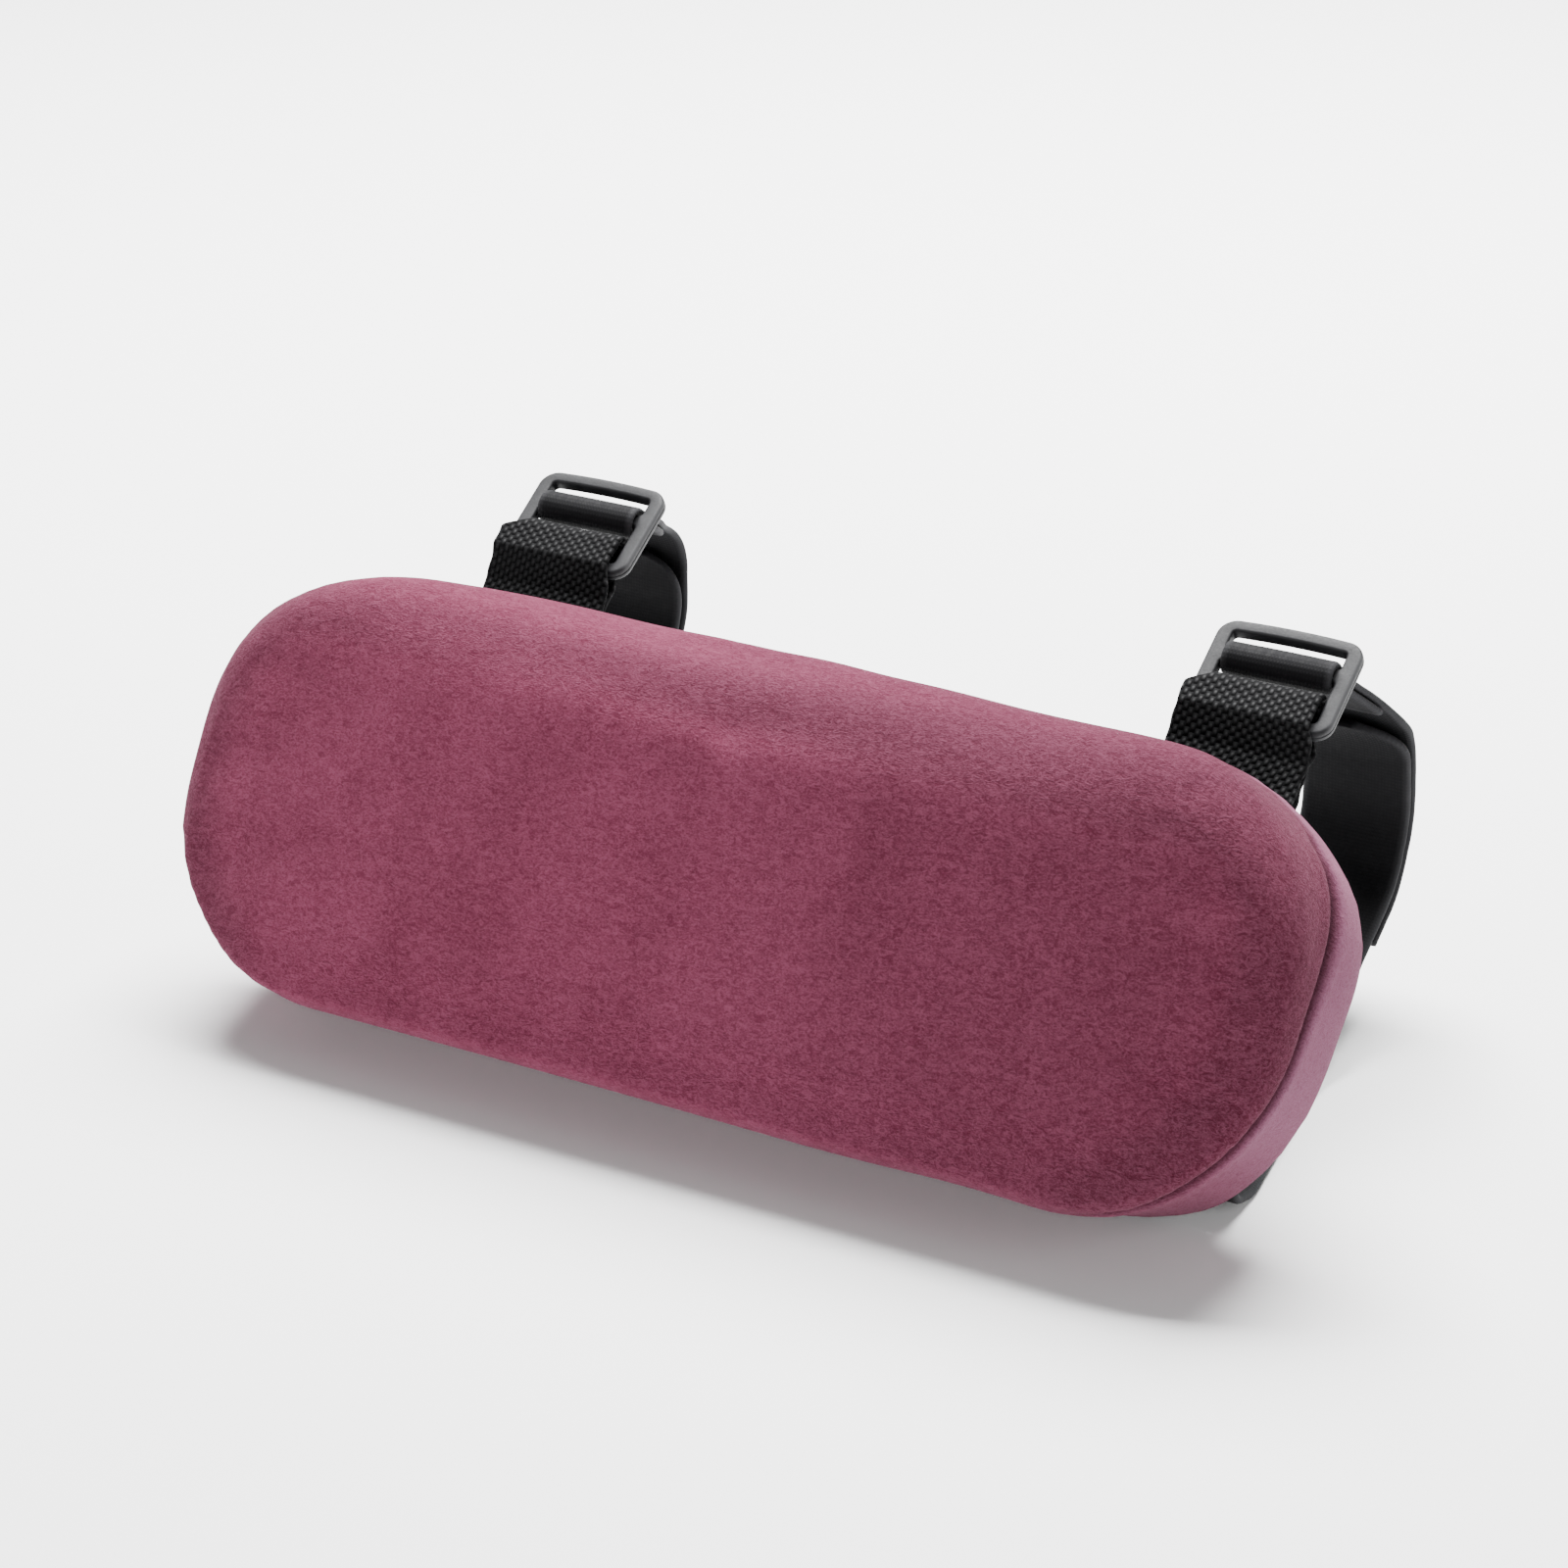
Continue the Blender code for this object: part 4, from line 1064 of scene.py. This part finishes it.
def build_box_stitch(name, x, depth, height):
    """A sewn rectangle with a cross in it, on the outer face of a tail."""
    out = Vector((0, 1, 0))
    y = depth + 0.00015
    half_x, half_z = 0.0096, 0.0056
    corners = [
        Vector((x + sx * half_x, y, height + sz * half_z))
        for sx, sz in ((-1, -1), (1, -1), (1, 1), (-1, 1))
    ]
    vertices = []
    faces = []
    for i in range(4):
        stitch_run(vertices, faces, corners[i], corners[(i + 1) % 4], out)
    stitch_run(vertices, faces, corners[0], corners[2], out)
    stitch_run(vertices, faces, corners[1], corners[3], out)
    place(f"thread_{name}", mesh_from(name, vertices, faces), "thread", "pad", "thread", (name,))


# ---------------------------------------------------------------- buckle

def rounded_outline(left, right, bottom, top, radius, spare=6):
    """Anticlockwise points round a rectangle with round corners, also along its straight sides."""
    corners = (
        (right, top, -1, -1, 0),
        (left, top, 1, -1, 90),
        (left, bottom, 1, 1, 180),
        (right, bottom, -1, 1, 270),
    )
    points = []
    for x, y, sign_x, sign_y, start in corners:
        for k in range(9):
            angle = math.radians(start + 90 * k / 8)
            centre_x = x + sign_x * radius
            centre_y = y + sign_y * radius
            points.append(
                (centre_x + radius * math.cos(angle), centre_y + radius * math.sin(angle))
            )
    full = []
    for i, point in enumerate(points):
        full.append(point)
        if i % 9 == 8:
            ahead = points[(i + 1) % len(points)]
            for k in range(1, spare):
                share = k / spare
                full.append(tuple(a + (b - a) * share for a, b in zip(point, ahead)))
    return full


def build_buckle(side, x):
    """A moulded frame with three bars, rounded edges, a bowed top bar and a fine parting line."""
    half = BUCKLE_WIDTH / 2
    slot_half = BUCKLE_SLOT_WIDTH / 2
    bar = BAR_WIDTH / 2
    top = TOP_BAR_HEIGHT + bar
    thick = BUCKLE_THICKNESS / 2
    outlines = [(-half, half, -bar, top, 0.0040, 1, 0.0009)]
    for low, high in ((0, MIDDLE_BAR_HEIGHT), (MIDDLE_BAR_HEIGHT, TOP_BAR_HEIGHT)):
        outlines.append((-slot_half, slot_half, low + bar, high - bar, 0.0009, -1, 0.0006))
    bm = bmesh.new()
    caps = {1: [], -1: []}
    for left, right, bottom, height, radius, sense, rounding in outlines:
        profile = []
        for k in range(6):
            angle = math.pi / 2 * k / 5
            inset = rounding * (1 - math.sin(angle))
            profile.append((inset, thick - rounding * (1 - math.cos(angle))))
        if sense > 0:
            profile += [(0, 0.00016), (0.00016, 0.00005)]
        profile += [(inset, -level) for inset, level in profile[::-1]]
        loops = []
        for inset, level in profile:
            cut = inset * sense
            outline = rounded_outline(
                left + cut, right - cut, bottom + cut, height - cut, max(0.0003, radius - cut)
            )
            loops.append([bm.verts.new((px, py, level)) for px, py in outline])
        for first, second in zip(loops, loops[1:]):
            for i in range(len(first)):
                j = (i + 1) % len(first)
                bm.faces.new((first[i], first[j], second[j], second[i]))
        for which, loop in ((1, loops[0]), (-1, loops[-1])):
            for i, vert in enumerate(loop):
                caps[which].append(bm.edges.get((vert, loop[(i + 1) % len(loop)])))
    for edges in caps.values():
        bmesh.ops.triangle_fill(bm, edges=edges, use_beauty=True, use_dissolve=False)
    bmesh.ops.recalc_face_normals(bm, faces=bm.faces)
    rim_highlight = []
    for vert in bm.verts:
        px, py, level = vert.co
        rise = float(smoothstep(py, MIDDLE_BAR_HEIGHT, TOP_BAR_HEIGHT))
        vert.co.y += BUCKLE_BOW * (1 - (px / half) ** 2) * rise
        # Painted highlight: the faces lighter near the frame's outer sides and top.
        rim = max(abs(px) / half, (py - bar) / top)
        raised = float(smoothstep(abs(level), 0.0003, 0.0009))
        rim_highlight.append(float(smoothstep(rim, 0.93, 1.0)) * raised)
    mesh = bpy.data.meshes.new(f"moulded_buckle_{side}")
    bm.to_mesh(mesh)
    bm.free()
    add_values(mesh, "rim_highlight", rim_highlight)
    pivot = buckle_pivot(side)
    turn = Euler((math.pi / 2 - BUCKLE_LEAN, 0, 0)).to_matrix().to_4x4()
    mesh.transform(Matrix.Translation((x, pivot.x, pivot.y)) @ turn)
    place(mesh.name, mesh, "buckle", f"{side}_buckle", "buckle_plastic", (f"buckle_{side}",))
    mesh.set_sharp_from_angle(angle=math.radians(40))


# ---------------------------------------------------------------- zip

def build_zip():
    """Interlocked coil teeth, the seams of the tapes, and materials for the metal pieces."""
    vertices = []
    faces = []
    count = int(2 * COIL_HALF / COIL_PITCH)
    half = COIL_WIDTH / 2
    for i in range(count):
        x = -COIL_HALF + (i + 0.5) * 2 * COIL_HALF / count
        side = 1 if i % 2 else -1
        points = []
        for k in range(9):
            share = k / 8
            z = side * (half - 0.0033 * share)
            y = COIL_BASE + 0.0004 + 0.0009 * math.sin(math.pi * min(1.0, share * 1.1))
            points.append(Vector((x + 0.0002 * side * math.sin(math.pi * share), y, z)))
        first = len(vertices)
        for k, point in enumerate(points):
            ahead = points[min(k + 1, 8)] - points[max(k - 1, 0)]
            lift = ahead.normalized().cross(Vector((1, 0, 0)))
            thick = 0.00038 * (1 if 0 < k < 8 else 0.55)
            for m in range(6):
                angle = math.pi * 2 * m / 6
                arm = Vector((1, 0, 0)) * math.cos(angle) + lift * math.sin(angle)
                vertices.append(point + arm * thick)
        close_tube(faces, first, 9)
    mesh = mesh_from("zip_teeth", vertices, faces)
    face_outward(mesh)
    place("zip_teeth", mesh, "zip_coil", "pad", "zip_coil", ("zip_coil",))

    vertices = []
    faces = []
    out = Vector((0, 1, 0))
    y = PAD_DEPTH + GAP + 0.0006 + 0.0001
    for z in (-0.0080, 0.0080):
        start = Vector((-0.057, y, z))
        end = Vector((0.057, y, z))
        stitch_run(vertices, faces, start, end, out, 0.0020, 0.0006, 0.00024)
    place("zip_seams", mesh_from("zip_seams", vertices, faces), "thread", "pad", "thread")

    for name, material in (
        ("zip_tape_upper", "zip_tape"),
        ("zip_tape_lower", "zip_tape"),
        ("zip_stop_left", "zip_metal"),
        ("zip_stop_right", "zip_metal"),
        ("zip_slider", "zip_metal"),
        ("zip_pull", "zip_metal"),
    ):
        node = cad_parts[name]
        node.data.materials.clear()
        node.data.materials.append(MATERIALS[material])
        if material == "zip_metal":
            bevel = node.modifiers.new("soft_edges", "BEVEL")
            bevel.width = 0.0002
            bevel.segments = 2
            bevel.limit_method = "ANGLE"


# ---------------------------------------------------------------- floor, light and camera

def build_floor():
    n = Nodes("floor")
    dust = n.noise(n.coordinates((3, 3, 3)), 4.0)
    colour = n.mix(dust, (0.90, 0.90, 0.90), (0.93, 0.93, 0.93))
    material = n.finish(colour, 0.9, Specular_IOR_Level=0.05)
    mesh = mesh_from("floor", [(-6, -6, 0), (6, -6, 0), (6, 6, 0), (-6, 6, 0)], [(0, 1, 2, 3)])
    mesh.materials.append(material)
    floor = bpy.data.objects.new("floor", mesh)
    bpy.context.scene.collection.objects.link(floor)


def add_light(name, location, target, size, power, colour=(1, 1, 1)):
    data = bpy.data.lights.new(name, "AREA")
    data.shape = "RECTANGLE"
    data.size, data.size_y = size
    data.energy = power
    data.color = colour
    light = bpy.data.objects.new(name, data)
    light.location = location
    light.rotation_euler = (Vector(target) - Vector(location)).to_track_quat("-Z", "Y").to_euler()
    bpy.context.scene.collection.objects.link(light)


def build_studio():
    """A large soft light above and behind, which throws the shadow forward, and weak fills."""
    world = bpy.data.worlds.new("studio")
    world.use_nodes = True
    world.node_tree.nodes["Background"].inputs["Color"].default_value = (1, 1, 1, 1)
    world.node_tree.nodes["Background"].inputs["Strength"].default_value = 0.25
    bpy.context.scene.world = world
    add_light("overhead", (-0.20, 0.60, 1.20), (0, 0, 0.0), (1.1, 0.75), 122)
    add_light("front", (0.1, -1.7, 0.42), (0, 0, 0.05), (1.3, 0.5), 20)
    add_light("right", (1.4, -0.1, 0.7), (0.05, 0, 0.05), (0.6, 0.8), 4)


def build_camera():
    data = bpy.data.cameras.new("camera")
    data.lens = 90
    data.sensor_width = 36
    data.clip_start = 0.01
    data.clip_end = 50
    camera = bpy.data.objects.new("camera", data)
    camera.location = (0.34984, -0.66312, 0.40398)
    camera.rotation_euler = (math.radians(64.9), 0, math.radians(28.6))
    bpy.context.scene.collection.objects.link(camera)
    bpy.context.scene.camera = camera


build_cushion()
for side_name, side_x in (("left", -STRAP_OFFSET), ("right", STRAP_OFFSET)):
    build_webbing(side_name, side_x)
    build_straps(side_name, side_x)
    build_buckle(side_name, side_x)
build_zip()
build_floor()
build_studio()
build_camera()
